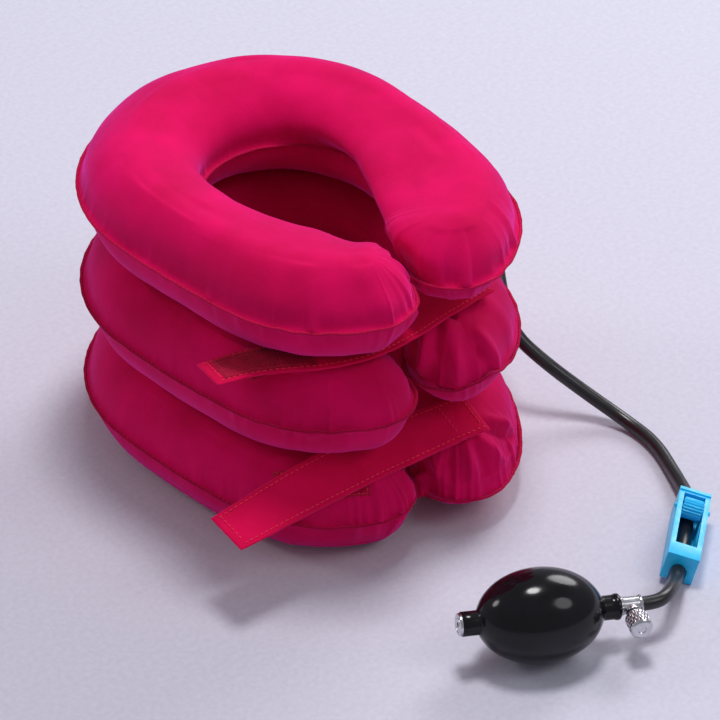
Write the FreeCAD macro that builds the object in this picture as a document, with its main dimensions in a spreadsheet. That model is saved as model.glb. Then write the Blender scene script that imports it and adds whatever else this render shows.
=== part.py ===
"""Inflatable cervical traction collar with its hand pump, as a parametric FreeCAD document.

Frame: millimetres, +Z up. The origin is on the surface the collar stands on, on the axis of the
neck opening. The nape of the collar is at +Y and its throat gap at -Y. Three C-shaped tiers are
stacked along Z. The hose leaves the middle tier at +X, lies down on the surface and runs through
a roller clamp to the release valve and bulb in front of the collar.
"""
import FreeCAD, Part
import math
import os

import Sketcher

Vector = FreeCAD.Vector
Rotation = FreeCAD.Rotation
Placement = FreeCAD.Placement
UP = Vector(0, 0, 1)

doc = FreeCAD.newDocument("cervical_traction_device")

# ---------------------------------------------------------------- driving dimensions
DIMENSIONS = [
    # tiers, seen from above
    ("nape_outer_radius", 98.0), ("nape_outer_y", 36.0),
    ("nape_inner_radius", 49.5), ("nape_inner_y", 12.0),
    ("side_radius", 500.0), ("side_length", 86.0),
    ("front_radius", 77.0), ("arm_inner_radius", 110.0),
    ("tip_radius", 27.0), ("throat_gap", 10.0),
    # tiers, in section
    ("tier_height", 57.6), ("tier_gap", 4.0), ("shoulder_radius", 22.0),
    ("cover_thickness", 1.4), ("cell_clearance", 0.4), ("cell_thickness", 0.5),
    ("welt_reach", 2.4), ("welt_thickness", 1.4),
    # what joins the tiers
    ("join_width", 8.0), ("join_half_angle", 100.0),
    ("link_y", 107.0), ("link_radius", 4.2), ("link_bore", 2.6), ("link_depth", 4.0),
    # fastening straps
    ("strap_width", 27.0), ("strap_thickness", 1.5), ("tab_length", 20.0), ("tab_thickness", 1.3),
    ("hook_length", 55.0), ("hook_thickness", 0.5), ("loop_length", 50.0),
    ("loop_width", 25.0), ("loop_thickness", 0.9), ("loop_lift", 6.0),
    ("patch_clearance", 0.5), ("strap_clearance", 0.3),
    ("lower_strap_flat", 128.0), ("lower_strap_drop", 28.0), ("lower_strap_droop", 35.0),
    ("upper_strap_run", 62.0), ("upper_strap_end", 58.0), ("upper_strap_bend", 28.0),
    ("upper_bend_radius", 60.0),
    # hose and inlet
    ("hose_diameter", 7.5), ("port_radius", 4.7), ("port_bore", 2.5), ("port_y", 22.0),
    ("port_inside", 12.0), ("port_outside", 9.0), ("port_bearing", -45.0),
    # roller clamp
    ("clamp_length", 55.0), ("clamp_width", 17.0), ("clamp_wall", 2.7), ("clamp_floor", 1.5),
    ("clamp_top", 12.6), ("clamp_end_wall", 3.6), ("clamp_bridge", 9.0), ("clamp_roll", -14.0),
    ("clamp_bar", 2.2), ("clamp_bar_rise", 0.8), ("clamp_nose", 7.0), ("clamp_nose_drop", 1.6),
    ("clamp_inset", 6.0), ("pinch_start", 9.5), ("pinch_end", 43.0),
    ("hose_room", 0.8), ("roller_radius", 5.6), ("roller_width", 10.6), ("roller_start", 13.0),
    ("roller_gap", 0.15), ("roller_travel", 20.0), ("roller_pinch", 3.4), ("roller_ribs", 20.0),
    ("rib_radius", 0.45), ("axle_radius", 1.2), ("axle_length", 19.4),
    ("running_clearance", 0.05),
    # bulb
    ("bulb_length", 67.0), ("bulb_diameter", 49.4), ("bulb_wall", 2.2), ("bulb_bearing", -25.0),
    ("bulb_pitch", 4.0),
    ("bulb_x", -25.5), ("bulb_y", -214.7), ("neck_radius", 6.4), ("neck_reach", 42.0),
    ("neck_bore", 4.2), ("ball_radius", 2.1), ("ball_gap", 0.1), ("ball_room", 0.25),
    ("seat_bore", 1.4), ("seat_wall", 1.0), ("seat_depth", 9.0), ("seat_flange", 1.3),
    ("seat_flange_radius", 5.9), ("seat_bevel", 0.5),
    # release valve
    ("valve_radius", 4.6), ("valve_end", 54.0), ("valve_bevel", 0.4), ("valve_cap", 1.2),
    ("air_bore", 1.5), ("branch_at", 48.0), ("branch_radius", 3.1), ("branch_root", 1.8),
    ("branch_reach", 9.5), ("seal_ring_radius", 4.05), ("seal_ring_section", 1.0),
    ("seal_ring_at", 7.6), ("needle_start", 2.0), ("needle_cone", 1.2), ("needle_radius", 1.45),
    ("needle_grip", 4.0), ("knob_radius", 6.0), ("knob_start", 9.8), ("knob_length", 11.0),
    ("knob_near_bevel", 0.8), ("knob_far_bevel", 1.2), ("knob_flutes", 24.0),
    ("flute_depth", 0.35), ("flute_half_width", 0.4), ("tool_overshoot", 1.0),
]
sheet = doc.addObject("Spreadsheet::Sheet", "Sizes")
for row, (alias, value) in enumerate(DIMENSIONS, start=1):
    sheet.set("A%d" % row, alias)
    sheet.set("B%d" % row, str(value))
    sheet.setAlias("B%d" % row, alias)
doc.recompute()
size = {alias: float(sheet.get(alias)) for alias, _ in DIMENSIONS}

TIERS = ("bottom", "middle", "top")
PITCH = size["tier_height"] + size["tier_gap"]
HALF_HEIGHT = size["tier_height"] / 2
SEAM_Z = {name: index * PITCH + HALF_HEIGHT for index, name in enumerate(TIERS)}
TOP_Z = {name: SEAM_Z[name] + HALF_HEIGHT for name in TIERS}
HOSE_RADIUS = size["hose_diameter"] / 2

# Where the straps are sewn on, and which way they run from there, seen from above.
LOWER_STRAP = {"at": (31.0, -92.0), "bearing": 174.6}
UPPER_STRAP = {"at": (46.0, -74.5), "bearing": 183.5}
LOOP_PATCH = {"bottom": {"at": (-60.0, -84.0), "bearing": -34.0},
              "middle": {"at": (-66.0, -64.0), "bearing": -24.0}}

# The hose's route by hand, from the inlet port to the valve. Its run through the clamp is straight.
HOSE_ROUTE = [
    (104.364, 15.636, 90.4), (118.0, 2.0, 90.4), (119.0, -15.5, 78.5), (110.0, -31.0, 62.5),
    (106.5, -44.5, 46.0), (116.0, -62.0, 31.0), (129.0, -80.0, 15.5), (139.0, -101.0, 4.2),
    (138.0, -126.0, 3.9), (127.0, -153.0, 3.9), (113.6, -179.6, 8.0), (64.1, -221.7, 8.0),
    (48.5, -234.0, 17.0), (37.5, -240.6, 20.2), (29.65, -240.42, 20.49), (23.32, -237.466, 20.984),
]
CLAMP_RUN = 11


# ---------------------------------------------------------------- helpers
def bind(thing, **expressions):
    """Tie properties of a feature to cells of the sheet."""
    for name, expression in expressions.items():
        thing.setExpression(name, expression)
    return thing


def new_body(label):
    body = doc.addObject("PartDesign::Body", label)
    body.Label = label
    return body


def new_sketch(body, role, name, offset=0.0):
    """A sketch on one of the body's own origin planes, moved along the plane's normal."""
    plane = next(item for item in body.Origin.OriginFeatures if item.Role == role)
    sketch = body.newObject("Sketcher::SketchObject", name)
    sketch.AttachmentSupport = [(plane, "")]
    sketch.MapMode = "FlatFace"
    sketch.AttachmentOffset = Placement(Vector(0, 0, offset), Rotation())
    return sketch


def draw_polygon(sketch, corners):
    points = [Vector(x, y, 0) for x, y in corners]
    for start, end in zip(points, points[1:] + points[:1]):
        sketch.addGeometry(Part.LineSegment(start, end))
    count = len(points)
    for index in range(count):
        sketch.addConstraint(Sketcher.Constraint("Coincident", index, 2, (index + 1) % count, 1))


def draw_circle(sketch, radius, expression, centre=(0, 0)):
    circle = sketch.addGeometry(Part.Circle(Vector(*centre, 0), UP, radius))
    index = sketch.addConstraint(Sketcher.Constraint("Radius", circle, radius))
    sketch.setExpression("Constraints[%d]" % index, expression)


def pad(body, sketch, expression, midplane=False, reverse=False):
    feature = body.newObject("PartDesign::Pad", "Pad")
    feature.Profile = sketch
    feature.Midplane = midplane
    feature.Reversed = reverse
    return bind(feature, Length=expression)


def pocket(body, sketch, expression, midplane=False, reverse=False):
    feature = body.newObject("PartDesign::Pocket", "Pocket")
    feature.Profile = sketch
    feature.Midplane = midplane
    feature.Reversed = reverse
    return bind(feature, Length=expression)


def revolve(body, sketch):
    """Turn a half profile about the sketch's own horizontal axis."""
    feature = body.newObject("PartDesign::Revolution", "Revolution")
    feature.Profile = sketch
    feature.ReferenceAxis = (sketch, ["H_Axis"])
    feature.Angle = 360
    return feature


def spun_body(label, profile, placement=Placement()):
    """A body turned about its own X axis from a closed (along, radius) profile."""
    body = new_body(label)
    sketch = new_sketch(body, "XY_Plane", "Profile")
    draw_polygon(sketch, profile)
    revolve(body, sketch)
    body.Placement = placement
    return body


def cut(label, base, *tools):
    result = base
    for number, tool in enumerate(tools, start=1):
        step = doc.addObject("Part::Cut", "%s_cut_%d" % (label, number))
        step.Base = result
        step.Tool = tool
        result = step
    result.Label = label
    return result


def cylinder(name, radius, length, placement):
    """A cylinder along +Z of its placement; radius and length are sheet expressions."""
    rod = doc.addObject("Part::Cylinder", name)
    bind(rod, Radius=radius, Height=length)
    rod.Placement = placement
    return rod


def face_across(shape, height):
    """Name of the flat horizontal face at this height."""
    for number, face in enumerate(shape.Faces, start=1):
        flat = isinstance(face.Surface, Part.Plane) and abs(face.normalAt(0, 0).z) > 0.99
        if flat and abs(face.CenterOfMass.z - height) < 0.01:
            return "Face%d" % number
    raise ValueError("no flat face at %.2f" % height)


# ---------------------------------------------------------------- the tiers' plan
def tier_arcs(offset):
    """Right half of a tier's outline as tangent arcs, moved outwards by offset.

    Each arc is (centre, radius, first angle, last angle), in radians, in order from the nape's
    outer middle round the arm's tip to the nape's inner middle.
    """
    nape = Vector(0, size["nape_outer_y"], 0)
    side = nape + Vector(size["nape_outer_radius"] - size["side_radius"], 0, 0)
    side_end = -math.asin(size["side_length"] / size["side_radius"])
    shift = size["side_radius"] - size["front_radius"]
    front = side + Vector(math.cos(side_end), math.sin(side_end), 0) * shift
    tip_x = size["throat_gap"] / 2 + size["tip_radius"]
    reach = size["front_radius"] - size["tip_radius"]
    tip = Vector(tip_x, front.y - math.sqrt(reach ** 2 - (tip_x - front.x) ** 2), 0)
    hole = Vector(0, size["nape_inner_y"], 0)
    to_hole = size["arm_inner_radius"] - size["nape_inner_radius"]
    to_tip = size["arm_inner_radius"] + size["tip_radius"]
    line = tip - hole
    along = (to_hole ** 2 - to_tip ** 2 + line.Length ** 2) / (2 * line.Length)
    across = math.sqrt(to_hole ** 2 - along ** 2)
    unit = line / line.Length
    arm = hole + unit * along + Vector(unit.y, -unit.x, 0) * across

    def angle(start, end):
        return math.atan2(end.y - start.y, end.x - start.x)

    front_end = angle(front, tip)
    tip_end = angle(tip, arm)
    arm_start = angle(arm, tip)
    arm_end = angle(arm, hole)
    return [
        (nape, size["nape_outer_radius"] + offset, math.pi / 2, 0.0),
        (side, size["side_radius"] + offset, 0.0, side_end),
        (front, size["front_radius"] + offset, side_end, front_end),
        (tip, size["tip_radius"] + offset, front_end, tip_end - 2 * math.pi),
        (arm, size["arm_inner_radius"] - offset, arm_start, arm_end),
        (hole, size["nape_inner_radius"] - offset, arm_end, math.pi / 2),
    ]


def draw_tier_outline(sketch, offset):
    """Both halves of the C, as arcs whose ends meet and whose radii hold."""
    right = []
    for centre, radius, first, last in tier_arcs(offset):
        circle = Part.Circle(centre, UP, radius)
        right.append(Part.ArcOfCircle(circle, min(first, last), max(first, last)))
    left = []
    for centre, radius, first, last in tier_arcs(offset):
        circle = Part.Circle(Vector(-centre.x, centre.y, 0), UP, radius)
        low, high = math.pi - max(first, last), math.pi - min(first, last)
        left.append(Part.ArcOfCircle(circle, low, high))
    for arc in right + left:
        sketch.addGeometry(arc)


def tier_block(label, offset, half_height, reverse=False, both=False):
    """A C-shaped block with rounded shoulders, from the seam plane up, down or both ways."""
    body = new_body(label)
    sketch = new_sketch(body, "XY_Plane", "Outline")
    draw_tier_outline(sketch, offset)
    height = "2 * (%s)" % half_height if both else half_height
    block = pad(body, sketch, height, midplane=both, reverse=reverse)
    doc.recompute()
    extent = block.Shape.BoundBox
    ends = [extent.ZMin, extent.ZMax] if both else [extent.ZMin if reverse else extent.ZMax]
    shoulder = body.newObject("PartDesign::Fillet", "Shoulders")
    shoulder.Base = (block, [face_across(block.Shape, end) for end in ends])
    bind(shoulder, Radius="Sizes.shoulder_radius + (%s)" % offset)
    doc.recompute()
    return body


def panel(tier, which):
    """Half of a tier's velour cover: a rounded shell, open at the seam plane."""
    label = "%s_%s" % (tier, which)
    low = which == "lower"
    half = "Sizes.tier_height / 2"
    outer = tier_block(label + "_outer", 0.0, half, reverse=low)
    inner = tier_block(label + "_inner", -size["cover_thickness"],
                       half + " - Sizes.cover_thickness", reverse=low)
    outer.Placement = inner.Placement = Placement(Vector(0, 0, SEAM_Z[tier]), Rotation())
    return outer, inner


def air_cell(tier):
    """The closed airtight bag inside a tier."""
    outside = size["cover_thickness"] + size["cell_clearance"]
    inside = outside + size["cell_thickness"]
    skin = "Sizes.tier_height / 2 - Sizes.cover_thickness - Sizes.cell_clearance"
    outer = tier_block(tier + "_cell_outer", -outside, skin, both=True)
    inner = tier_block(tier + "_cell_inner", -inside, skin + " - Sizes.cell_thickness", both=True)
    outer.Placement = inner.Placement = Placement(Vector(0, 0, SEAM_Z[tier]), Rotation())
    return outer, inner


def seam_welt(tier):
    """The sewn edge that stands out all round a tier, where its two panels meet."""
    body = new_body(tier + "_seam_welt_ring")
    sketch = new_sketch(body, "XY_Plane", "Ring")
    draw_tier_outline(sketch, size["welt_reach"])
    draw_tier_outline(sketch, 0.0)
    pad(body, sketch, "Sizes.welt_thickness", midplane=True)
    body.Placement = Placement(Vector(0, 0, SEAM_Z[tier]), Rotation())
    return body


# ---------------------------------------------------------------- collar
def port_placement(distance):
    """On the inlet port's axis, at a distance outwards from the tier's wall."""
    bearing = math.radians(size["port_bearing"])
    out = Vector(math.cos(bearing), math.sin(bearing), 0)
    wall = Vector(size["nape_outer_radius"], size["port_y"], SEAM_Z["middle"])
    return Placement(wall + out * distance, Rotation(UP, out))


def link_placement(tier):
    """On the axis of the air link that rises out of this tier."""
    return Placement(Vector(0, size["link_y"], TOP_Z[tier] - size["link_depth"]), Rotation())


def link_hole(name, tier):
    return cylinder(name, "Sizes.link_radius + Sizes.running_clearance",
                    "Sizes.tier_gap + 2 * Sizes.link_depth", link_placement(tier))


def port_hole(name):
    return cylinder(name, "Sizes.port_radius + Sizes.running_clearance",
                    "Sizes.port_inside + Sizes.port_outside", port_placement(-size["port_inside"]))


def build_tiers():
    parts = []
    for index, tier in enumerate(TIERS):
        link_above = index < len(TIERS) - 1
        link_below = index > 0
        port = tier == "middle"
        upper, upper_hollow = panel(tier, "upper")
        lower, lower_hollow = panel(tier, "lower")
        cell, cell_hollow = air_cell(tier)
        pieces = {"upper": upper, "lower": lower, "cell": cell, "welt": seam_welt(tier)}
        tools = {"upper": [upper_hollow], "lower": [lower_hollow], "cell": [cell_hollow],
                 "welt": []}
        if link_above:
            tools["upper"].append(link_hole(tier + "_upper_link_hole", tier))
            tools["cell"].append(link_hole(tier + "_cell_link_hole", tier))
        if link_below:
            tools["lower"].append(link_hole(tier + "_lower_link_hole", TIERS[index - 1]))
            tools["cell"].append(link_hole(tier + "_cell_low_link_hole", TIERS[index - 1]))
        if port:
            for key in tools:
                tools[key].append(port_hole("%s_port_hole" % key))
        names = {"upper": "upper_panel", "lower": "lower_panel", "cell": "air_cell",
                 "welt": "seam_welt"}
        for key, piece in pieces.items():
            parts.append(cut("%s_%s" % (tier, names[key]), piece, *tools[key]))
    return parts


def build_joins():
    """Between neighbouring tiers: a sewn C-shaped join and a short pipe for the air."""
    parts = []
    centre = Vector(0, (size["nape_outer_y"] + size["nape_inner_y"]) / 2, 0)
    middle = (size["nape_outer_radius"] + size["nape_inner_radius"]) / 2
    half = math.radians(size["join_half_angle"])
    first, last = math.pi / 2 - half, math.pi / 2 + half
    for name, tier in (("lower", "bottom"), ("upper", "middle")):
        body = new_body(name + "_tier_join")
        sketch = new_sketch(body, "XY_Plane", "Band")
        edges = []
        for radius in (middle - size["join_width"] / 2, middle + size["join_width"] / 2):
            arc = Part.ArcOfCircle(Part.Circle(centre, UP, radius), first, last)
            edges.append(arc)
            sketch.addGeometry(arc)
        for end in ("StartPoint", "EndPoint"):
            sketch.addGeometry(Part.LineSegment(getattr(edges[0], end), getattr(edges[1], end)))
        pad(body, sketch, "Sizes.tier_gap")
        body.Placement = Placement(Vector(0, 0, TOP_Z[tier]), Rotation())
        place = link_placement(tier)
        length = "Sizes.tier_gap + 2 * Sizes.link_depth"
        pipe = cylinder(name + "_link_outer", "Sizes.link_radius", length, place)
        bore = cylinder(name + "_link_bore", "Sizes.link_bore", length, place)
        parts += [body, cut(name + "_air_link", pipe, bore)]
    start = port_placement(-size["port_inside"])
    length = "Sizes.port_inside + Sizes.port_outside"
    sleeve = cylinder("port_outer", "Sizes.port_radius", length, start)
    parts.append(cut("inlet_port", sleeve, cylinder("port_bore", "Sizes.port_bore", length, start)))
    return parts


# ---------------------------------------------------------------- straps
def strap_place(strap, height):
    x, y = strap["at"]
    return Placement(Vector(x, y, height), Rotation(UP, strap["bearing"]))


def flat_piece(label, corners, thickness, placement):
    body = new_body(label)
    sketch = new_sketch(body, "XY_Plane", "Plan")
    draw_polygon(sketch, corners)
    pad(body, sketch, thickness)
    body.Placement = placement
    return body


def sewn_tab(label, strap, tier):
    half_length, half_width = size["tab_length"] / 2, size["strap_width"] / 2
    corners = [(-half_length, -half_width), (half_length, -half_width),
               (half_length, half_width), (-half_length, half_width)]
    return flat_piece(label, corners, "Sizes.tab_thickness", strap_place(strap, TOP_Z[tier]))


def loop_patch(label, tier):
    """Loop fabric that follows the rounded top of the left arm under the strap's free end."""
    outside = tier_block(label + "_outer", size["loop_thickness"],
                         "Sizes.tier_height / 2 + Sizes.loop_thickness")
    inside = tier_block(label + "_inner", 0.0, "Sizes.tier_height / 2")
    outside.Placement = inside.Placement = Placement(Vector(0, 0, SEAM_Z[tier]), Rotation())
    skin = cut(label + "_skin", outside, inside)
    block = doc.addObject("Part::Box", label + "_block")
    bind(block, Length="Sizes.loop_length", Width="Sizes.loop_width", Height="Sizes.tier_height")
    turn = Rotation(UP, LOOP_PATCH[tier]["bearing"])
    corner = Vector(-size["loop_length"] / 2, -size["loop_width"] / 2, 0)
    base = Vector(*LOOP_PATCH[tier]["at"], SEAM_Z[tier] + size["loop_lift"])
    block.Placement = Placement(base + turn.multVec(corner), turn)
    patch = doc.addObject("Part::Common", label)
    patch.Base, patch.Tool = skin, block
    patch.Label = label
    return patch


def lower_strap_parts():
    """Sewn to the right arm, across the throat gap, over the left arm and down outside it."""
    half_tab = size["tab_length"] / 2
    flat, drop, thick = size["lower_strap_flat"], size["lower_strap_drop"], size["strap_thickness"]
    droop = math.radians(size["lower_strap_droop"])
    down = (math.cos(droop), -math.sin(droop))
    face = (math.sin(droop), math.cos(droop))
    miter = thick * math.tan(droop / 2)
    end = (flat + drop * down[0], drop * down[1])
    body = new_body("lower_strap")
    sketch = new_sketch(body, "XZ_Plane", "Side")
    draw_polygon(sketch, [(-half_tab, 0), (flat, 0), end,
                          (end[0] + face[0] * thick, end[1] + face[1] * thick),
                          (flat + miter, thick), (-half_tab, thick)])
    pad(body, sketch, "Sizes.strap_width", midplane=True)
    under = size["loop_thickness"] + size["patch_clearance"] + size["hook_thickness"]
    height = TOP_Z["bottom"] + under
    body.Placement = strap_place(LOWER_STRAP, height)
    half_width = size["loop_width"] / 2
    start = flat - size["hook_length"]
    hook = flat_piece("lower_hook_patch",
                      [(start, -half_width), (flat, -half_width),
                       (flat, half_width), (start, half_width)],
                      "Sizes.hook_thickness",
                      strap_place(LOWER_STRAP, height - size["hook_thickness"]))
    return [body, hook]


def upper_strap_parts():
    """Sewn to the right arm and bent in its own plane to end along the left arm."""
    half_tab, half_width = size["tab_length"] / 2, size["strap_width"] / 2
    run, bend_radius = size["upper_strap_run"], size["upper_bend_radius"]
    bend = math.radians(size["upper_strap_bend"])
    centre = Vector(run, -bend_radius, 0)
    ahead = Vector(math.cos(bend), -math.sin(bend), 0)
    body = new_body("upper_strap")
    sketch = new_sketch(body, "XY_Plane", "Plan")
    sides = []
    for radius in (bend_radius + half_width, bend_radius - half_width):
        arc = Part.ArcOfCircle(Part.Circle(centre, UP, radius), math.pi / 2 - bend, math.pi / 2)
        end = arc.StartPoint + ahead * size["upper_strap_end"]
        start = Vector(-half_tab, arc.EndPoint.y, 0)
        sketch.addGeometry(Part.LineSegment(start, arc.EndPoint))
        sketch.addGeometry(arc)
        sketch.addGeometry(Part.LineSegment(arc.StartPoint, end))
        sides.append((start, end))
    sketch.addGeometry(Part.LineSegment(sides[0][0], sides[1][0]))
    sketch.addGeometry(Part.LineSegment(sides[0][1], sides[1][1]))
    pad(body, sketch, "Sizes.strap_thickness")
    height = TOP_Z["middle"] + size["tab_thickness"] + size["strap_clearance"]
    body.Placement = strap_place(UPPER_STRAP, height)
    inset = (size["strap_width"] - size["loop_width"]) / 2
    corners = []
    for (_, end), side in zip(sides, (-1, 1)):
        across = Vector(ahead.y, -ahead.x, 0) * -side
        tip = end - across * inset
        back = tip - ahead * size["hook_length"]
        corners.append((tip, back))
    (tip_a, back_a), (tip_b, back_b) = corners
    hook = flat_piece("upper_hook_patch",
                      [(p.x, p.y) for p in (back_a, tip_a, tip_b, back_b)],
                      "Sizes.hook_thickness",
                      strap_place(UPPER_STRAP, height + size["strap_thickness"]))
    return [body, hook]


def build_straps():
    parts = lower_strap_parts() + upper_strap_parts()
    parts.append(sewn_tab("lower_strap_tab", LOWER_STRAP, "bottom"))
    parts.append(sewn_tab("upper_strap_tab", UPPER_STRAP, "middle"))
    parts.append(loop_patch("lower_loop_patch", "bottom"))
    parts.append(loop_patch("upper_loop_patch", "middle"))
    return parts


# ---------------------------------------------------------------- hose
def rounded_route(points):
    """Straight runs joined by tangent arcs that are as large as their two runs allow."""
    spots = [Vector(*point) for point in points]
    edges, radii = [], []
    here = spots[0]
    for before, corner, after in zip(spots, spots[1:], spots[2:]):
        arriving, leaving = corner - before, after - corner
        turn = arriving.getAngle(leaving)
        trim = 0.45 * min(arriving.Length, leaving.Length)
        radius = trim / math.tan(turn / 2)
        start = corner - arriving / arriving.Length * trim
        end = corner + leaving / leaving.Length * trim
        inward = (end - corner) + (start - corner)
        reach = math.hypot(radius, trim) - radius
        middle = corner + inward / inward.Length * reach
        edges.append(Part.LineSegment(here, start).toShape())
        edges.append(Part.Arc(start, middle, end).toShape())
        radii.append(radius)
        here = end
    edges.append(Part.LineSegment(here, spots[-1]).toShape())
    return edges, radii


def hose_piece(label, edges):
    """A plain rod swept along part of the route."""
    path = Part.Wire(edges)
    start, ahead = path.Edges[0].valueAt(path.Edges[0].FirstParameter), path.Edges[0].tangentAt(0)
    ring = Part.Wire([Part.Circle(start, ahead, HOSE_RADIUS).toShape()])
    rod = path.makePipeShell([ring], True, False)
    piece = doc.addObject("Part::Feature", label)
    piece.Label = label
    piece.Shape = rod
    full = math.pi * HOSE_RADIUS ** 2 * path.Length
    print("%s: length %.1f mm, volume %.3f of section x length"
          % (label, path.Length, rod.Volume / full))
    return piece


def build_hose():
    """Three rods end to end: the collar's side, the stretch in the clamp, the bulb's side."""
    edges, radii = rounded_route(HOSE_ROUTE)
    print("hose radii: " + ", ".join("%.0f" % radius for radius in radii))
    print("hose runs: " + ", ".join("%.0f" % (Vector(*b) - Vector(*a)).Length
                                    for a, b in zip(HOSE_ROUTE, HOSE_ROUTE[1:])))
    straight = 2 * (CLAMP_RUN - 1)
    first, last = (vertex.Point for vertex in edges[straight].Vertexes)
    pinch_start, pinch_end = clamp_point(size["pinch_start"]), clamp_point(size["pinch_end"])
    before = Part.LineSegment(first, pinch_start).toShape()
    inside = Part.LineSegment(pinch_start, pinch_end).toShape()
    after = Part.LineSegment(pinch_end, last).toShape()
    return [
        hose_piece("hose_collar_side", edges[:straight] + [before]),
        hose_piece("hose_in_clamp", [inside]),
        hose_piece("hose_bulb_side", [after] + edges[straight + 1:]),
    ]


# ---------------------------------------------------------------- roller clamp
CLAMP_START = Vector(*HOSE_ROUTE[CLAMP_RUN - 1])
CLAMP_AXIS = Vector(*HOSE_ROUTE[CLAMP_RUN]) - CLAMP_START


def clamp_point(along):
    """On the hose's axis, at a distance from the clamp's upper end."""
    return CLAMP_START + CLAMP_AXIS / CLAMP_AXIS.Length * (size["clamp_inset"] + along)


def clamp_placement():
    """X along the hose towards the bulb, Z out of the clamp's open side, rolled to one side."""
    bearing = math.degrees(math.atan2(CLAMP_AXIS.y, CLAMP_AXIS.x))
    turn = Rotation(UP, bearing).multiply(Rotation(Vector(1, 0, 0), size["clamp_roll"]))
    return Placement(clamp_point(0.0), turn)


def slot_outline(sketch, start, end, radius):
    """A round-ended slot between two centres."""
    line = end - start
    lean = math.atan2(line.y, line.x)
    side = Vector(-math.sin(lean), math.cos(lean), 0) * radius
    quarter = math.pi / 2
    sketch.addGeometry(Part.LineSegment(start + side, end + side))
    sketch.addGeometry(Part.LineSegment(start - side, end - side))
    sketch.addGeometry(Part.ArcOfCircle(Part.Circle(start, UP, radius),
                                        lean + quarter, lean + 3 * quarter))
    sketch.addGeometry(Part.ArcOfCircle(Part.Circle(end, UP, radius),
                                        lean - quarter, lean + quarter))


def roller_height():
    return HOSE_RADIUS + size["roller_gap"] + size["roller_radius"]


def clamp_body():
    """A trough for the hose, open above, with a track for the axle in its two walls."""
    length, wall = size["clamp_length"], size["clamp_wall"]
    top, half_width, bar = size["clamp_top"], size["clamp_width"] / 2, size["clamp_bar"]
    rail = top - size["clamp_bar_rise"]
    opening = HOSE_RADIUS + size["hose_room"]
    base = -opening - size["clamp_floor"]
    body = new_body("clamp_body")
    side = new_sketch(body, "XZ_Plane", "Side")
    draw_polygon(side, [(0, base), (length, base), (length, top - size["clamp_nose_drop"]),
                        (length - size["clamp_nose"], rail), (bar, rail), (bar, top), (0, top)])
    pad(body, side, "Sizes.clamp_width", midplane=True)
    trough = new_sketch(body, "XY_Plane", "Trough", offset=top)
    inner = half_width - wall
    first, last = size["clamp_end_wall"], length - size["clamp_bridge"]
    draw_polygon(trough, [(first, -inner), (last, -inner), (last, inner), (first, inner)])
    pocket(body, trough, "Sizes.clamp_top + Sizes.hose_diameter / 2 + Sizes.hose_room")
    tunnel = new_sketch(body, "YZ_Plane", "Tunnel")
    draw_circle(tunnel, opening, "Sizes.hose_diameter / 2 + Sizes.hose_room")
    pocket(body, tunnel, "Sizes.clamp_length", reverse=True)
    arch = new_sketch(body, "YZ_Plane", "Arch", offset=last)
    under = base - size["tool_overshoot"]
    draw_polygon(arch, [(-opening, under), (opening, under), (opening, 0), (-opening, 0)])
    pocket(body, arch, "Sizes.clamp_bridge", reverse=True)
    track = new_sketch(body, "XZ_Plane", "Track")
    start = Vector(size["roller_start"], roller_height(), 0)
    end = start + Vector(size["roller_travel"], -size["roller_pinch"], 0)
    slot_outline(track, start, end, size["axle_radius"] + size["running_clearance"])
    pocket(body, track, "2 * Sizes.clamp_width", midplane=True)
    body.Placement = clamp_placement()
    return body


def across_clamp(centre):
    """A placement whose Z runs across the clamp, centred on its middle plane."""
    local = Placement(centre, Rotation(Vector(1, 0, 0), 90))
    return clamp_placement().multiply(local)


def clamp_roller():
    """A ribbed wheel on the axle: a disc with half-round ribs all round its rim."""
    body = new_body("clamp_roller")
    disc = new_sketch(body, "XY_Plane", "Disc")
    rib_radius = size["rib_radius"]
    draw_circle(disc, size["roller_radius"] - rib_radius, "Sizes.roller_radius - Sizes.rib_radius")
    draw_circle(disc, size["axle_radius"] + size["running_clearance"],
                "Sizes.axle_radius + Sizes.running_clearance")
    pad(body, disc, "Sizes.roller_width", midplane=True)
    rib = new_sketch(body, "XY_Plane", "Rib")
    draw_circle(rib, rib_radius, "Sizes.rib_radius", centre=(size["roller_radius"] - rib_radius, 0))
    ribs = pad(body, rib, "Sizes.roller_width", midplane=True)
    ring = body.newObject("PartDesign::PolarPattern", "Ribs")
    ring.Originals = [ribs]
    ring.Axis = (disc, ["N_Axis"])
    ring.Angle = 360
    bind(ring, Occurrences="Sizes.roller_ribs")
    body.Tip = ring
    body.Placement = across_clamp(Vector(size["roller_start"], 0, roller_height()))
    return body


def build_clamp():
    axle_at = Vector(size["roller_start"], size["axle_length"] / 2, roller_height())
    axle = cylinder("clamp_axle", "Sizes.axle_radius", "Sizes.axle_length", across_clamp(axle_at))
    axle.Label = "clamp_axle"
    return [clamp_body(), clamp_roller(), axle]


# ---------------------------------------------------------------- bulb and valves
def bulb_placement(along=0.0):
    """X along the bulb's axis towards the valve, from the bulb's middle."""
    pitch = math.radians(size["bulb_pitch"])
    lowest = math.hypot(size["bulb_length"] / 2 * math.sin(pitch),
                        size["bulb_diameter"] / 2 * math.cos(pitch))
    nose_down = Rotation(Vector(0, 1, 0), size["bulb_pitch"])
    turn = Rotation(UP, size["bulb_bearing"]).multiply(nose_down)
    middle = Vector(size["bulb_x"], size["bulb_y"], lowest)
    return Placement(middle + turn.multVec(Vector(along, 0, 0)), turn)


def oval_arc(half_length, half_height, radius):
    """Upper part of an ellipse, above the height where it meets a neck of this radius."""
    ellipse = Part.Ellipse(Vector(0, 0, 0), half_length, half_height)
    meet = math.asin(radius / half_height)
    return Part.ArcOfEllipse(ellipse, meet, math.pi - meet)


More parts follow.
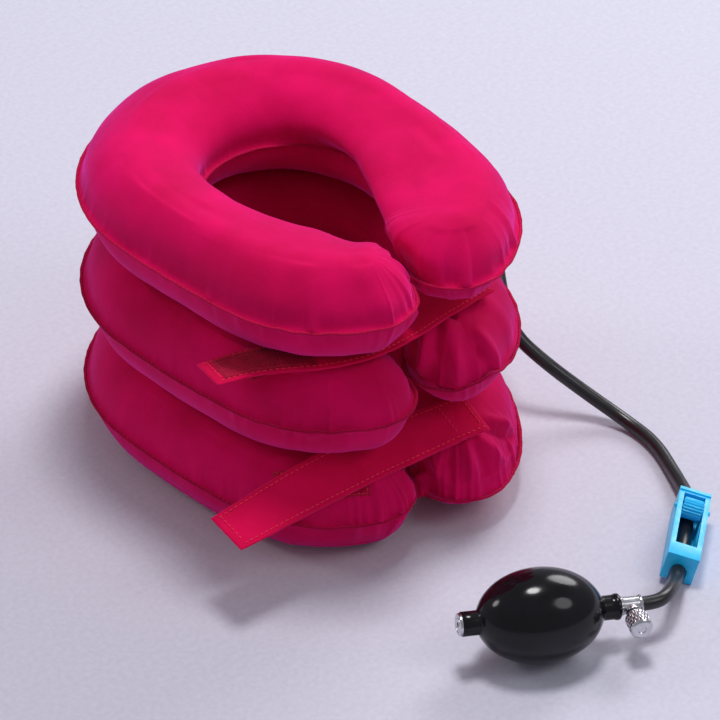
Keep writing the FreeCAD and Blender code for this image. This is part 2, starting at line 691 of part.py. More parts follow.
def rubber_bulb():
    """A hollow oval of rubber with a neck at each end."""
    half_length, half_height = size["bulb_length"] / 2, size["bulb_diameter"] / 2
    wall, neck, bore = size["bulb_wall"], size["neck_radius"], size["neck_bore"]
    reach = size["neck_reach"]
    outer = oval_arc(half_length, half_height, neck)
    inner = oval_arc(half_length - wall, half_height - wall, bore)
    body = new_body("rubber_bulb")
    sketch = new_sketch(body, "XY_Plane", "Profile")
    sketch.addGeometry(outer)
    sketch.addGeometry(inner)
    for ends, sign in (("StartPoint", 1), ("EndPoint", -1)):
        out, inn = getattr(outer, ends), getattr(inner, ends)
        corners = [out, Vector(sign * reach, neck, 0), Vector(sign * reach, bore, 0), inn]
        for first, second in zip(corners, corners[1:]):
            sketch.addGeometry(Part.LineSegment(first, second))
    revolve(body, sketch)
    body.Placement = bulb_placement()
    return body


def inlet_valve_seat():
    """Metal bush in the tail neck, with a flange outside and a chamber for its ball."""
    reach, fit = size["neck_reach"], size["neck_bore"] - size["running_clearance"]
    hole, chamber = size["seat_bore"], size["ball_radius"] + size["ball_room"]
    face, flange, bevel = -reach - size["seat_flange"], size["seat_flange_radius"], size["seat_bevel"]
    inner_end = -reach + size["seat_depth"]
    chamber_end, chamber_start = inner_end - size["seat_wall"], -reach + size["seat_wall"]
    return spun_body("inlet_valve_seat", [
        (face, hole), (face, flange - bevel), (face + bevel, flange), (-reach, flange),
        (-reach, fit), (inner_end, fit), (inner_end, hole), (chamber_end, hole),
        (chamber_end, chamber), (chamber_start, chamber), (chamber_start, hole)],
        bulb_placement())


def release_valve_body():
    """Metal barrel between bulb and hose, with a chamber for the outlet ball and a side branch."""
    reach, barrel = size["neck_reach"], size["valve_radius"]
    fit = size["neck_bore"] - size["running_clearance"]
    hole, chamber, bore = size["seat_bore"], size["ball_radius"] + size["ball_room"], size["air_bore"]
    end, bevel = size["valve_end"], size["valve_bevel"]
    inner_end, chamber_end = reach - size["seat_depth"], reach - size["valve_cap"]
    chamber_start = inner_end + size["seat_wall"]
    body = spun_body("release_valve_body", [
        (inner_end, hole), (inner_end, fit), (reach, fit), (reach, barrel), (end - bevel, barrel),
        (end, barrel - bevel), (end, bore), (chamber_end, bore), (chamber_end, chamber),
        (chamber_start, chamber), (chamber_start, hole)], bulb_placement())
    branch = new_sketch(body, "XZ_Plane", "Branch", offset=size["branch_root"])
    draw_circle(branch, size["branch_radius"], "Sizes.branch_radius",
                centre=(size["branch_at"], 0))
    pad(body, branch, "Sizes.branch_reach - Sizes.branch_root")
    vent = new_sketch(body, "XZ_Plane", "Vent")
    draw_circle(vent, size["needle_radius"] + size["running_clearance"],
                "Sizes.needle_radius + Sizes.running_clearance", centre=(size["branch_at"], 0))
    pocket(body, vent, "2 * Sizes.branch_reach", reverse=True)
    return body


def branch_placement():
    """X out along the release screw, from the barrel's axis."""
    spot = Vector(size["branch_at"], 0, 0)
    return bulb_placement().multiply(Placement(spot, Rotation(UP, -90)))


def seal_ring():
    """Rubber ring that grips the branch behind the knob."""
    ring = doc.addObject("Part::Torus", "valve_seal_ring")
    ring.Label = "valve_seal_ring"
    bind(ring, Radius1="Sizes.seal_ring_radius - Sizes.seal_ring_section / 2",
         Radius2="Sizes.seal_ring_section / 2")
    place = Placement(Vector(size["seal_ring_at"], 0, 0), Rotation(UP, Vector(1, 0, 0)))
    ring.Placement = branch_placement().multiply(place)
    return ring


def release_needle():
    """The release screw's stem: its tip closes the vent and its head carries the knob."""
    radius, start = size["needle_radius"], size["needle_start"]
    head = size["knob_start"] + size["needle_grip"]
    return spun_body("release_needle", [
        (start, 0), (start + size["needle_cone"], radius), (head, radius), (head, 0)],
        branch_placement())


def release_knob():
    """A fluted cap over the stem's head, with running room round the stem and past its end."""
    start, radius = size["knob_start"], size["knob_radius"]
    end, near, far = start + size["knob_length"], size["knob_near_bevel"], size["knob_far_bevel"]
    hole = size["needle_radius"] + size["running_clearance"]
    hole_end = start + size["needle_grip"] + size["running_clearance"]
    body = new_body("release_knob")
    profile = new_sketch(body, "XY_Plane", "Profile")
    draw_polygon(profile, [
        (hole_end, 0), (hole_end, hole), (start, hole), (start, radius - near),
        (start + near, radius), (end - far, radius), (end, radius - far), (end, 0)])
    revolve(body, profile)
    flute = new_sketch(body, "YZ_Plane", "Flute", offset=start)
    outside, half_width = radius + size["tool_overshoot"], size["flute_half_width"]
    draw_polygon(flute, [(-half_width, outside), (half_width, outside),
                         (0, radius - size["flute_depth"])])
    groove = pocket(body, flute, "Sizes.knob_length", reverse=True)
    ring = body.newObject("PartDesign::PolarPattern", "Flutes")
    ring.Originals = [groove]
    ring.Axis = (profile, ["H_Axis"])
    ring.Angle = 360
    bind(ring, Occurrences="Sizes.knob_flutes")
    body.Tip = ring
    body.Placement = branch_placement()
    return body


def ball(label, along):
    sphere = doc.addObject("Part::Sphere", label)
    sphere.Label = label
    bind(sphere, Radius="Sizes.ball_radius")
    sphere.Placement = bulb_placement(along)
    return sphere


def build_pump():
    inner_end = size["neck_reach"] - size["seat_depth"]
    rest = math.sqrt(size["ball_radius"] ** 2 - size["seat_bore"] ** 2) + size["ball_gap"]
    from_seat = size["seat_wall"] + rest
    return [
        rubber_bulb(), inlet_valve_seat(), release_valve_body(), seal_ring(), release_needle(),
        release_knob(), ball("inlet_valve_ball", from_seat - size["neck_reach"]),
        ball("outlet_valve_ball", from_seat + inner_end),
    ]


# ---------------------------------------------------------------- build, check, write
def check_and_export(parts):
    failed = []
    for item in doc.Objects:
        if "Invalid" in item.State or "Error" in item.State:
            failed.append("%s: %s" % (item.Label, item.State))
    for part in parts:
        if part.Shape.isNull() or not part.Shape.isValid() or not part.Shape.Solids:
            failed.append("%s: bad shape" % part.Label)
    if failed:
        raise RuntimeError("not exported:\n" + "\n".join(failed))
    os.makedirs("parts", exist_ok=True)
    for part in parts:
        part.Shape.exportStep("parts/%s.step" % part.Label)
        print("%-22s %8.2f cm3" % (part.Label, part.Shape.Volume / 1000))


parts = build_tiers() + build_joins() + build_straps() + build_hose() + build_clamp() + build_pump()
doc.recompute()
check_and_export(parts)
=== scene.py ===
"""Looks of the inflatable cervical traction collar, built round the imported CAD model.

Metres, in the CAD frame: +Z up, the origin on the floor on the axis of the neck opening, the nape
at +Y and the throat gap at -Y.
"""
import math
from bisect import bisect_right

import bmesh
import bpy
from mathutils import Matrix, Vector, noise
from mathutils.bvhtree import BVHTree

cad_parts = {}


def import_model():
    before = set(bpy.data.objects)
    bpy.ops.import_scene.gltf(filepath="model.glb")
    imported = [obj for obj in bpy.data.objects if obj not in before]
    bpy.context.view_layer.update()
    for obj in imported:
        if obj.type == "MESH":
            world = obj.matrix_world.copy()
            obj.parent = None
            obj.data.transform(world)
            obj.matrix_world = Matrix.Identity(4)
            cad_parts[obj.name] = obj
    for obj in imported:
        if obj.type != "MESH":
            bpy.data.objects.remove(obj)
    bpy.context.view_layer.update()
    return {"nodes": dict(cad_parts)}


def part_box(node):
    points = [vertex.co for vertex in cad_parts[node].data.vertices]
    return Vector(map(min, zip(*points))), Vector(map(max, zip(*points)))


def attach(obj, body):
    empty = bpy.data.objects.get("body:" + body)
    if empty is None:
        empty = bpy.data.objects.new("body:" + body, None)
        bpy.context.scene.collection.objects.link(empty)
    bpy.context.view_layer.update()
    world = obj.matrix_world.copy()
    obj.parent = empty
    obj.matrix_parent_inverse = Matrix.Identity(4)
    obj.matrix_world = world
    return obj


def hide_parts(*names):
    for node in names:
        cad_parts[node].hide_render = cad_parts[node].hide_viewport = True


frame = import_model()

MM = 0.001
UP = Vector((0, 0, 1))

# -------- sizes shared with the CAD model
# The plan is in millimetres, and the hose in metres.
NAPE_OUTER = {"y": 36.0, "radius": 98.0}
NAPE_INNER = {"y": 12.0, "radius": 49.5}
SIDE = {"radius": 500.0, "length": 86.0}
FRONT_RADIUS = 77.0
ARM_INNER_RADIUS = 110.0
TIP_RADIUS = 27.0
THROAT_GAP = 10.0
HOSE_DIAMETER = 0.0075
HOSE_ROUTE = [
    (0.104364, 0.015636, 0.0904), (0.118, 0.002, 0.0904), (0.119, -0.0155, 0.0785),
    (0.110, -0.031, 0.0625), (0.1065, -0.0445, 0.046), (0.116, -0.062, 0.031),
    (0.129, -0.080, 0.0155), (0.139, -0.101, 0.0042), (0.138, -0.126, 0.0039),
    (0.127, -0.153, 0.0039), (0.1136, -0.1796, 0.008), (0.0641, -0.2217, 0.008),
    (0.0485, -0.234, 0.017), (0.0375, -0.2406, 0.0202), (0.02965, -0.24042, 0.02049),
    (0.02332, -0.237466, 0.020984),
]
CLAMP_RUN = 11
TIERS = ("bottom", "middle", "top")


def node_middle(node):
    low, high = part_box(node)
    return (low + high) / 2


SEAM_Z = {tier: node_middle(tier + "_seam_welt").z for tier in TIERS}
TIER_TOP = {tier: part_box(tier + "_upper_panel")[1].z for tier in TIERS}


# -------- small helpers
def smooth(low, high, value):
    t = min(1.0, max(0.0, (value - low) / (high - low)))
    return t * t * (3 - 2 * t)


def bump_at(value, centre, width):
    return math.exp(-((value - centre) / width) ** 2)


def rounded_ramp(value):
    """0 well below 0 and the value itself well above it, with a rounded corner between."""
    return value if value > 20 else math.log1p(math.exp(value))


def distances(points):
    """How far along a chain each of its points is."""
    reach = [0.0]
    for a, b in zip(points, points[1:]):
        reach.append(reach[-1] + math.dist(a, b))
    return reach


def stretch_at(reach, distance):
    """The stretch of a measured chain that a distance falls in, and the share of it passed."""
    k = min(len(reach) - 2, max(0, bisect_right(reach, distance) - 1))
    return k, (distance - reach[k]) / max(1e-9, reach[k + 1] - reach[k])


def linked(name, data):
    """A new object in the scene that shows this data."""
    piece = bpy.data.objects.new(name, data)
    bpy.context.scene.collection.objects.link(piece)
    return piece


def mesh_object(name, vertices, faces):
    mesh = bpy.data.meshes.new(name)
    mesh.from_pydata([tuple(v) for v in vertices], [], faces)
    mesh.validate()
    for polygon in mesh.polygons:
        polygon.use_smooth = True
    return linked(name, mesh)


def from_work(name, work):
    """A new object from a finished bmesh."""
    mesh = bpy.data.meshes.new(name)
    work.to_mesh(mesh)
    work.free()
    return linked(name, mesh)


def tidy_mesh(piece, merge):
    """Merge coincident points and point every face outwards."""
    work = bmesh.new()
    work.from_mesh(piece.data)
    bmesh.ops.remove_doubles(work, verts=work.verts, dist=merge)
    bmesh.ops.dissolve_degenerate(work, edges=work.edges, dist=merge / 4)
    bmesh.ops.recalc_face_normals(work, faces=work.faces)
    work.to_mesh(piece.data)
    work.free()
    return piece


def finish_piece(piece, material, body, slot, *nodes):
    piece.data.materials.clear()
    piece.data.materials.append(material)
    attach(piece, body)
    if nodes:
        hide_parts(*nodes)
    return piece


def tube(rings, looped=False):
    """Vertices and faces of a tube through rings of equally many points.

    Its last ring joins its first if it is looped, and both ends are closed otherwise.
    """
    count, rows = len(rings[0]), len(rings)
    faces = []
    for row in range(rows if looped else rows - 1):
        after = (row + 1) % rows
        for k in range(count):
            n = (k + 1) % count
            faces.append((row * count + k, row * count + n, after * count + n, after * count + k))
    if not looped:
        faces.append(tuple(reversed(range(count))))
        faces.append(tuple(range((rows - 1) * count, rows * count)))
    return [point for ring in rings for point in ring], faces


def ring_round(centre, side, up, radius, count):
    """Even points round a centre, in the plane of two directions."""
    turns = [2 * math.pi * k / count for k in range(count)]
    return [centre + (side * math.cos(a) + up * math.sin(a)) * radius for a in turns]


def add_tube(vertices, faces, rings):
    """Add a tube to the vertices and faces of a growing mesh."""
    more, quads = tube(rings)
    faces += [tuple(v + len(vertices) for v in quad) for quad in quads]
    vertices += more


RIM_FROM = 3.0


def lathe(name, profile, matrix, segments=96, relief=None):
    """A piece turned about the matrix's X axis from a closed (along, radius) profile, in mm.

    relief(along, angle) is how far the profile's points outside RIM_FROM are cut in there.
    """
    rings = []
    for along, radius in profile:
        ring = []
        for k in range(segments):
            angle = 2 * math.pi * k / segments
            reach = radius - (relief(along, angle) if relief and radius > RIM_FROM else 0.0)
            ring.append(matrix @ (Vector((along, reach * math.cos(angle),
                                          reach * math.sin(angle))) * MM))
        rings.append(ring)
    return tidy_mesh(mesh_object(name, *tube(rings, looped=True)), 0.000002)


def sharp_by_angle(piece, degrees):
    """Smooth shading, with edges sharper than this angle left crisp."""
    work = bmesh.new()
    work.from_mesh(piece.data)
    for edge in work.edges:
        edge.smooth = len(edge.link_faces) == 2 and \
            edge.calc_face_angle(math.pi) < math.radians(degrees)
    for face in work.faces:
        face.smooth = True
    work.to_mesh(piece.data)
    work.free()
    return piece


def joined(pieces, name):
    """One mesh object from several."""
    whole = bmesh.new()
    for piece in pieces:
        whole.from_mesh(piece.data)
    result = from_work(name, whole)
    for piece in pieces:
        bpy.data.objects.remove(piece)
    return result


# A stitch covers this share of its pitch. Its rings: (share of its length, fatness, lift), the
# last two in half thicknesses of the thread.
STITCH_SHARE = 0.74
STITCH_RINGS = ((0.0, 0.35, -0.5), (0.16, 0.85, 0.2), (0.5, 1.0, 0.6), (0.84, 0.85, 0.2),
                (1.0, 0.35, -0.5))
LOOK_AHEAD = 0.0002


def thread_run(name, path, pitch, thickness):
    """Separate stitches along a path of (place, facing) pairs, in metres."""
    reach = distances([place for place, _ in path])
    half = thickness / 2

    def at(distance):
        k, share = stretch_at(reach, distance)
        return (path[k][0].lerp(path[k + 1][0], share),
                path[k][1].lerp(path[k + 1][1], share).normalized())

    vertices, faces = [], []
    for number in range(int(reach[-1] / pitch)):
        rings = []
        for share, fatness, lift in STITCH_RINGS:
            distance = (number + share * STITCH_SHARE) * pitch
            place, facing = at(distance)
            side = (at(distance + LOOK_AHEAD)[0] - place).cross(facing).normalized()
            centre = place + facing * lift * half
            rings.append(ring_round(centre, side, facing, fatness * half, 6))
        add_tube(vertices, faces, rings)
    return mesh_object(name, vertices, faces)


# -------- materials
def new_material(name, color, roughness, metallic=0.0, **sockets):
    """A node material; sockets are further Principled inputs, set on the shader itself."""
    material = bpy.data.materials.new(name)
    material.use_nodes = True
    shader = material.node_tree.nodes["Principled BSDF"]
    shader.inputs["Base Color"].default_value = (*color, 1)
    shader.inputs["Roughness"].default_value = roughness
    shader.inputs["Metallic"].default_value = metallic
    for socket, value in sockets.items():
        shader.inputs[socket.replace("_", " ")].default_value = value
    return material


def add_node(material, kind, **inputs):
    node = material.node_tree.nodes.new(kind)
    for socket, value in inputs.items():
        node.inputs[socket.replace("_", " ")].default_value = value
    return node


def link(material, source, target):
    material.node_tree.links.new(source, target)


def shader_of(material):
    return material.node_tree.nodes["Principled BSDF"]


def object_noise(material, scale, detail=3.0):
    """Noise in the object's own space, so that it has a real size."""
    place = add_node(material, "ShaderNodeTexCoord")
    field = add_node(material, "ShaderNodeTexNoise", Scale=scale, Detail=detail, Roughness=0.55)
    link(material, place.outputs["Object"], field.inputs["Vector"])
    return field


def wander(material, socket, scale, low, high, start=0.35, end=0.65):
    """Let a shader input wander between two colours or greys."""
    ramp = add_node(material, "ShaderNodeValToRGB")
    for element, position, color in zip(ramp.color_ramp.elements, (start, end), (low, high)):
        element.position = position
        element.color = (*color, 1)
    link(material, object_noise(material, scale, 4.0).outputs["Fac"], ramp.inputs["Fac"])
    link(material, ramp.outputs["Color"], shader_of(material).inputs[socket])
    return material


def mottle(material, *tones):
    return wander(material, "Base Color", *tones)


def vary_roughness(material, scale, low, high):
    return wander(material, "Roughness", scale, (low,) * 3, (high,) * 3)


def add_bump(material, source, strength, distance, previous=None):
    bump = add_node(material, "ShaderNodeBump", Strength=strength, Distance=distance)
    link(material, source, bump.inputs["Height"])
    if previous:
        link(material, previous.outputs["Normal"], bump.inputs["Normal"])
    link(material, bump.outputs["Normal"], shader_of(material).inputs["Normal"])
    return bump


def noise_bump(material, scale, strength, distance, detail=3.0, previous=None):
    height = object_noise(material, scale, detail).outputs["Fac"]
    return add_bump(material, height, strength, distance, previous)


def velour(name, deep, light, sheen_tint, nap_depth=0.0003):
    """Short-pile velour: brushed patches, a fine nap and a coloured sheen."""
    material = new_material(name, light, 0.88, Sheen_Weight=0.55, Sheen_Roughness=0.36,
                            Sheen_Tint=(*sheen_tint, 1), Specular_IOR_Level=0.10)
    mottle(material, 26.0, deep, light, 0.30, 0.70)
    nap = noise_bump(material, 2600.0, 0.4, nap_depth, 2.0)
    noise_bump(material, 800.0, 0.3, nap_depth * 1.3, 3.0, nap)
    return material


def weave(name, deep, light, threads):
    """Close-woven tape: crossing threads under a faint mottle."""
    material = new_material(name, light, 0.8, Sheen_Weight=0.35, Sheen_Roughness=0.45,
                            Sheen_Tint=(1.0, 0.25, 0.45, 1), Specular_IOR_Level=0.18)
    mottle(material, 140.0, deep, light)
    place = add_node(material, "ShaderNodeTexCoord")
    previous = None
    for direction in ("X", "Y"):
        wave = add_node(material, "ShaderNodeTexWave", Scale=threads, Distortion=1.2,
                        Detail=2.0, Detail_Scale=3.0)
        wave.bands_direction = direction
        link(material, place.outputs["Object"], wave.inputs["Vector"])
        previous = add_bump(material, wave.outputs["Fac"], 0.3, 0.0002, previous)
    return material


VELOUR = velour("velour", (0.580, 0.0010, 0.068), (0.760, 0.0018, 0.110), (1.0, 0.10, 0.80))
# The seam edge gets a darker copy of the velour: painted shade along the sewn edge, which also tones
# down the light on its upward face.
PAINTED_SHADE_VELOUR_EDGE = velour("velour_edge_painted_shade", (0.40, 0.0010, 0.044), (0.50, 0.0014, 0.062),
                     (0.8, 0.10, 0.60))
STRAP_CLOTH = velour("strap_cloth", (0.62, 0.0012, 0.055), (0.74, 0.0020, 0.080),
                     (1.0, 0.14, 0.60), 0.0002)
LOOP_PILE = velour("loop_pile", (0.30, 0.002, 0.022), (0.52, 0.006, 0.050), (1.0, 0.25, 0.4), 0.0006)
HOOK_TAPE = weave("hook_tape", (0.36, 0.002, 0.030), (0.52, 0.003, 0.048), 700.0)
HOOKS = mottle(new_material("hook_nylon", (0.66, 0.005, 0.08), 0.4), 900.0,
               (0.50, 0.003, 0.055), (0.80, 0.008, 0.11))
THREAD = mottle(new_material("thread", (1.0, 0.010, 0.085), 0.5, Sheen_Weight=0.5,
                             Sheen_Tint=(1.0, 0.10, 0.30, 1)), 700.0,
                (0.95, 0.006, 0.070), (1.0, 0.016, 0.105))
noise_bump(THREAD, 4000.0, 0.4, 0.0001)
SEAM_THREAD = mottle(new_material("seam_thread", (0.56, 0.004, 0.04), 0.7), 700.0,
                     (0.50, 0.003, 0.036), (0.62, 0.006, 0.050))
RUBBER = vary_roughness(new_material("hose_rubber", (0.010, 0.010, 0.011), 0.34), 60.0, 0.28, 0.42)
mottle(RUBBER, 90.0, (0.007, 0.007, 0.008), (0.014, 0.014, 0.015))
noise_bump(RUBBER, 900.0, 0.10, 0.0002)
BULB_RUBBER = vary_roughness(new_material("bulb_rubber", (0.005, 0.005, 0.006), 0.12,
                                          Specular_IOR_Level=0.3), 45.0, 0.10, 0.20)
mottle(BULB_RUBBER, 60.0, (0.003, 0.003, 0.004), (0.006, 0.006, 0.008))
noise_bump(BULB_RUBBER, 260.0, 0.05, 0.0002)
PLASTIC = new_material("clamp_plastic", (0.014, 0.57, 1.0), 0.34, Subsurface_Weight=0.12,
                       Subsurface_Scale=0.002, Subsurface_Radius=(0.2, 0.6, 1.0))
mottle(PLASTIC, 120.0, (0.012, 0.55, 0.98), (0.017, 0.60, 1.0))
vary_roughness(PLASTIC, 200.0, 0.30, 0.44)
noise_bump(PLASTIC, 1500.0, 0.08, 0.0001)
CHROME = vary_roughness(new_material("bright_metal", (0.62, 0.62, 0.64), 0.2, 1.0), 300.0,
                        0.16, 0.28)
mottle(CHROME, 200.0, (0.56, 0.56, 0.58), (0.66, 0.66, 0.68))
STEEL = vary_roughness(new_material("ball_steel", (0.62, 0.62, 0.64), 0.12, 1.0), 400.0, 0.08, 0.18)
FILM = vary_roughness(new_material("cell_film", (0.62, 0.62, 0.58), 0.3), 200.0, 0.22, 0.4)
SEAL = mottle(new_material("seal_rubber", (0.01, 0.01, 0.01), 0.5), 500.0, (0.007,) * 3, (0.016,) * 3)


# -------- the tiers' plan
def arc_points(centre, radius, first, last, count):
    """Points along an arc, both ends included, in millimetres."""
    return [Vector((centre[0] + radius * math.cos(first + (last - first) * k / (count - 1)),
                    centre[1] + radius * math.sin(first + (last - first) * k / (count - 1))))
            for k in range(count)]


def plan_arcs():
    """The right half of a tier's outline: tangent arcs from the outer nape to the inner nape."""
    nape = Vector((0, NAPE_OUTER["y"]))
    side = nape + Vector((NAPE_OUTER["radius"] - SIDE["radius"], 0))
    side_end = -math.asin(SIDE["length"] / SIDE["radius"])
    front = side + Vector((math.cos(side_end), math.sin(side_end))) * (SIDE["radius"] - FRONT_RADIUS)
    tip_x = THROAT_GAP / 2 + TIP_RADIUS
    tip = Vector((tip_x, front.y - math.sqrt((FRONT_RADIUS - TIP_RADIUS) ** 2
                                             - (tip_x - front.x) ** 2)))
    hole = Vector((0, NAPE_INNER["y"]))
    to_hole = ARM_INNER_RADIUS - NAPE_INNER["radius"]
    to_tip = ARM_INNER_RADIUS + TIP_RADIUS
    line = tip - hole
    along = (to_hole ** 2 - to_tip ** 2 + line.length ** 2) / (2 * line.length)
    across = math.sqrt(to_hole ** 2 - along ** 2)
    unit = line.normalized()
    arm = hole + unit * along + Vector((unit.y, -unit.x)) * across

    def angle(start, end):
        return math.atan2(end.y - start.y, end.x - start.x)

    outer = [(nape, NAPE_OUTER["radius"], math.pi / 2, 0.0),
             (side, SIDE["radius"], 0.0, side_end),
             (front, FRONT_RADIUS, side_end, angle(front, tip))]
    cap = (tip, TIP_RADIUS, angle(front, tip), angle(tip, arm) - 2 * math.pi)
    inner = [(hole, NAPE_INNER["radius"], math.pi / 2, angle(arm, hole)),
             (arm, ARM_INNER_RADIUS, angle(arm, hole), angle(arm, tip))]
    return outer, cap, inner, tip


ARC_STEPS = 200


def even_points(arcs, count):
    """Points spaced evenly along a chain of arcs."""
    dense = []
    for arc in arcs:
        dense += arc_points(*arc, ARC_STEPS)[(1 if dense else 0):]
    reach = distances(dense)
    points = []
    for k in range(count):
        index, share = stretch_at(reach, reach[-1] * k / (count - 1))
        points.append(dense[index].lerp(dense[index + 1], share))
    return points


STATIONS = 250
CAP_STEPS = 90


def half_plan():
    """Rows round the right half of the C, in millimetres.

    Each is (seam point, ridge point, share of the way to the tip, 0 outside to 1 inside).
    """
    outer_arcs, cap, inner_arcs, tip = plan_arcs()
    outer = even_points(outer_arcs, STATIONS)
    inner = even_points(inner_arcs, STATIONS)
    last_middle = (outer[-1] + inner[-1]) / 2
    ridge, rows = [], []
    for k in range(STATIONS):
        share = k / (STATIONS - 1)
        ridge.append((outer[k] + inner[k]) / 2 + (tip - last_middle) * smooth(0.45, 1.0, share))
        rows.append((outer[k], ridge[k], share, 0.0))
    for step, point in enumerate(arc_points(*cap, CAP_STEPS)[1:-1], start=1):
        rows.append((point, tip, 1.0, smooth(0.3, 1.0, step / (CAP_STEPS - 1))))
    for k in reversed(range(STATIONS)):
        rows.append((inner[k], ridge[k], k / (STATIONS - 1), 1.0))
    return rows


def whole_plan():
    """The whole outline as one loop: right half, then the left half back to the start."""
    right = half_plan()
    left = [(Vector((-p.x, p.y)), Vector((-m.x, m.y)), share, inside)
            for p, m, share, inside in reversed(right[1:-1])]
    return right + left


PLAN = whole_plan()

# -------- the tiers' inflated surface
RINGS = 40
EDGE_ANGLE = math.radians(16)
ARM_LEFT, ARM_RIGHT = "left", "right"

# Folds in the slack velour: (start, end, width, depth), millimetres; depth below 0 is a valley.
FOLDS = {
    "bottom": [
        ((20, -105, 47), (17, -115, 31), 3.4, -5.0),
        ((5, -95, 40), (4, -102, 31), 3.0, -4.6),
        ((11, -100, 44), (10, -106, 35), 2.8, 2.8),
        ((29, -107, 47), (39, -114, 32), 3.8, -3.4),
        ((24, -107, 47), (28, -116, 29), 3.0, 2.6),
        ((34, -103, 50), (45, -104, 42), 2.8, 2.4),
        ((45, -104, 42), (60, -99, 30), 2.8, 2.6),
        ((41, -99, 51), (50, -100, 44), 3.4, -3.2),
        ((50, -100, 44), (61, -97, 30), 3.4, -3.2),
        ((-22, -96, 50), (-12, -110, 32), 4.5, -3.3),
        ((-36, -98, 50), (-30, -114, 32), 4.5, -2.7),
    ],
    "middle": [
        ((31, -85, 117), (26, -107, 106), 3.2, 3.6),
        ((26, -107, 106), (31, -112, 94), 3.2, 3.6),
        ((22, -86, 117), (14, -103, 103), 4.6, -5.4),
        ((14, -103, 103), (12, -109, 90), 4.2, -5.4),
        ((29, -100, 113), (36, -111, 94), 4.0, -3.4),
        ((20, -84, 116), (10, -92, 108), 3.0, 3.0),
        ((10, -92, 108), (4, -94, 93), 3.0, 3.0),
        ((15, -83, 114), (5, -91, 102), 4.4, -6.4),
        ((5, -91, 102), (1, -88, 91), 4.4, -6.4),
        ((48, -84, 113), (56, -98, 95), 6.0, -2.2),
        ((-14, -92, 112), (-6, -104, 94), 4.5, -2.7),
    ],
    "top": [
        ((47, -92, 166), (50, -99, 156), 2.6, -1.8),
        ((40, -97, 165), (42, -105, 155), 2.6, -2.0),
        ((31, -101, 164), (32, -109, 155), 2.6, -1.6),
        ((-6, -96, 164), (-3, -103, 155), 2.6, -2.0),
        ((-12, -99, 164), (-9, -108, 155), 2.6, -1.6),
        ((-22, -92, 174), (-14, -108, 155), 5.0, -2.1),
        ((-40, -92, 174), (-36, -112, 155), 6.0, -1.5),
    ],
}
FOLD_LIMITS = (-6.6, 4.0)
FOLD_END = 0.55  # a fold's depth at its ends, as a share of its depth in the middle
LOWER_FOLDS = 0.3

# Heights in millimetres of what the cloth does between its folds.
BASE_SLACK = 0.8
SLACK = {ARM_LEFT: {"top": 1.7, "middle": 1.3, "bottom": 1.9},
         ARM_RIGHT: {"top": 1.5, "middle": 0.9, "bottom": 1.3}}
PUCKER_DEPTH = 3.3
PUCKER_EASE, TAUT_TIP_EASE = 0.14, 0.13
PUCKER_REACH, TIP_PUCKER_REACH = 4.0, 6.5
SEAM_PINCH = 1.6
SEAM_ROLL, SEAM_ROLL_WIDTH = 1.7, 3.6
SWELLS, RIPPLES = 1.1, 0.26

# The arms' inner sides swell, and the two arms of a tier press together along a slanting plane.
NAPE_BULGE = 3.5
INNER_BULGE = {ARM_LEFT: {"top": 16.0, "middle": 6.0, "bottom": 5.0},
               ARM_RIGHT: {"top": 24.0, "middle": 5.0, "bottom": 4.0}}
TIP_THINNING, LOWER_BULGE = 0.3, 0.35
CAP_FADE = {ARM_LEFT: 2.5, ARM_RIGHT: 1.0}
CONTACT_FROM, ARM_CONTACT, CONTACT_ROUNDING = 0.55, 0.35, 4.0
CONTACT_SLANT, CONTACT_Y = 0.17, -67.0

# The right arms' tips have settled, and the left arms' tops slope down towards their tips.
TIP_DROP = {"top": 0.0, "middle": 2.0, "bottom": 9.0}
TIP_SHIFT = {"top": (-5.0, -1.5), "middle": (-5.0, -3.5), "bottom": (-5.5, -8.5)}
DROOP_OVER = {"top": (0.74, 1.0), "middle": (0.74, 1.0), "bottom": (0.74, 0.93)}
SEAM_SHIFT_FADE, RIDGE_SHIFT = 0.4, 0.3
SEAM_LIFT = {"at": (34, -117), "rise": 7.0, "width": 16}
TIP_SLOPE = 0.16
FLATTER_UNDERSIDE = {ARM_LEFT: {"top": 0.0, "middle": 0.0, "bottom": 0.0},
                     ARM_RIGHT: {"top": 0.26, "middle": 0.16, "bottom": 0.0}}
NAPE_FULLER, TIP_LOWER = 0.05, 0.04


def arm_of(point):
    return ARM_RIGHT if point.x > 0 else ARM_LEFT


def half_height(tier, share):
    """How far the ridge stands off the seam: fuller at the nape, lower at the tips."""
    full = TIER_TOP[tier] - SEAM_Z[tier]
    return full * (1 + NAPE_FULLER * (1 - smooth(0.25, 0.6, share))
                   - TIP_LOWER * smooth(0.85, 1.0, share))


def droop(tier, seam, share):
    """Where slack cloth at the right arms' tips has settled: (plan shift, seam rise), in mm."""
    if seam.x < 0:
        return Vector((0, 0)), 0.0
    tip = smooth(*DROOP_OVER[tier], share)
    rise = -TIP_DROP[tier]
    if tier == "middle":
        rise += SEAM_LIFT["rise"] * bump_at((seam - Vector(SEAM_LIFT["at"])).length, 0,
                                            SEAM_LIFT["width"])
    return Vector(TIP_SHIFT[tier]) * tip, rise * tip


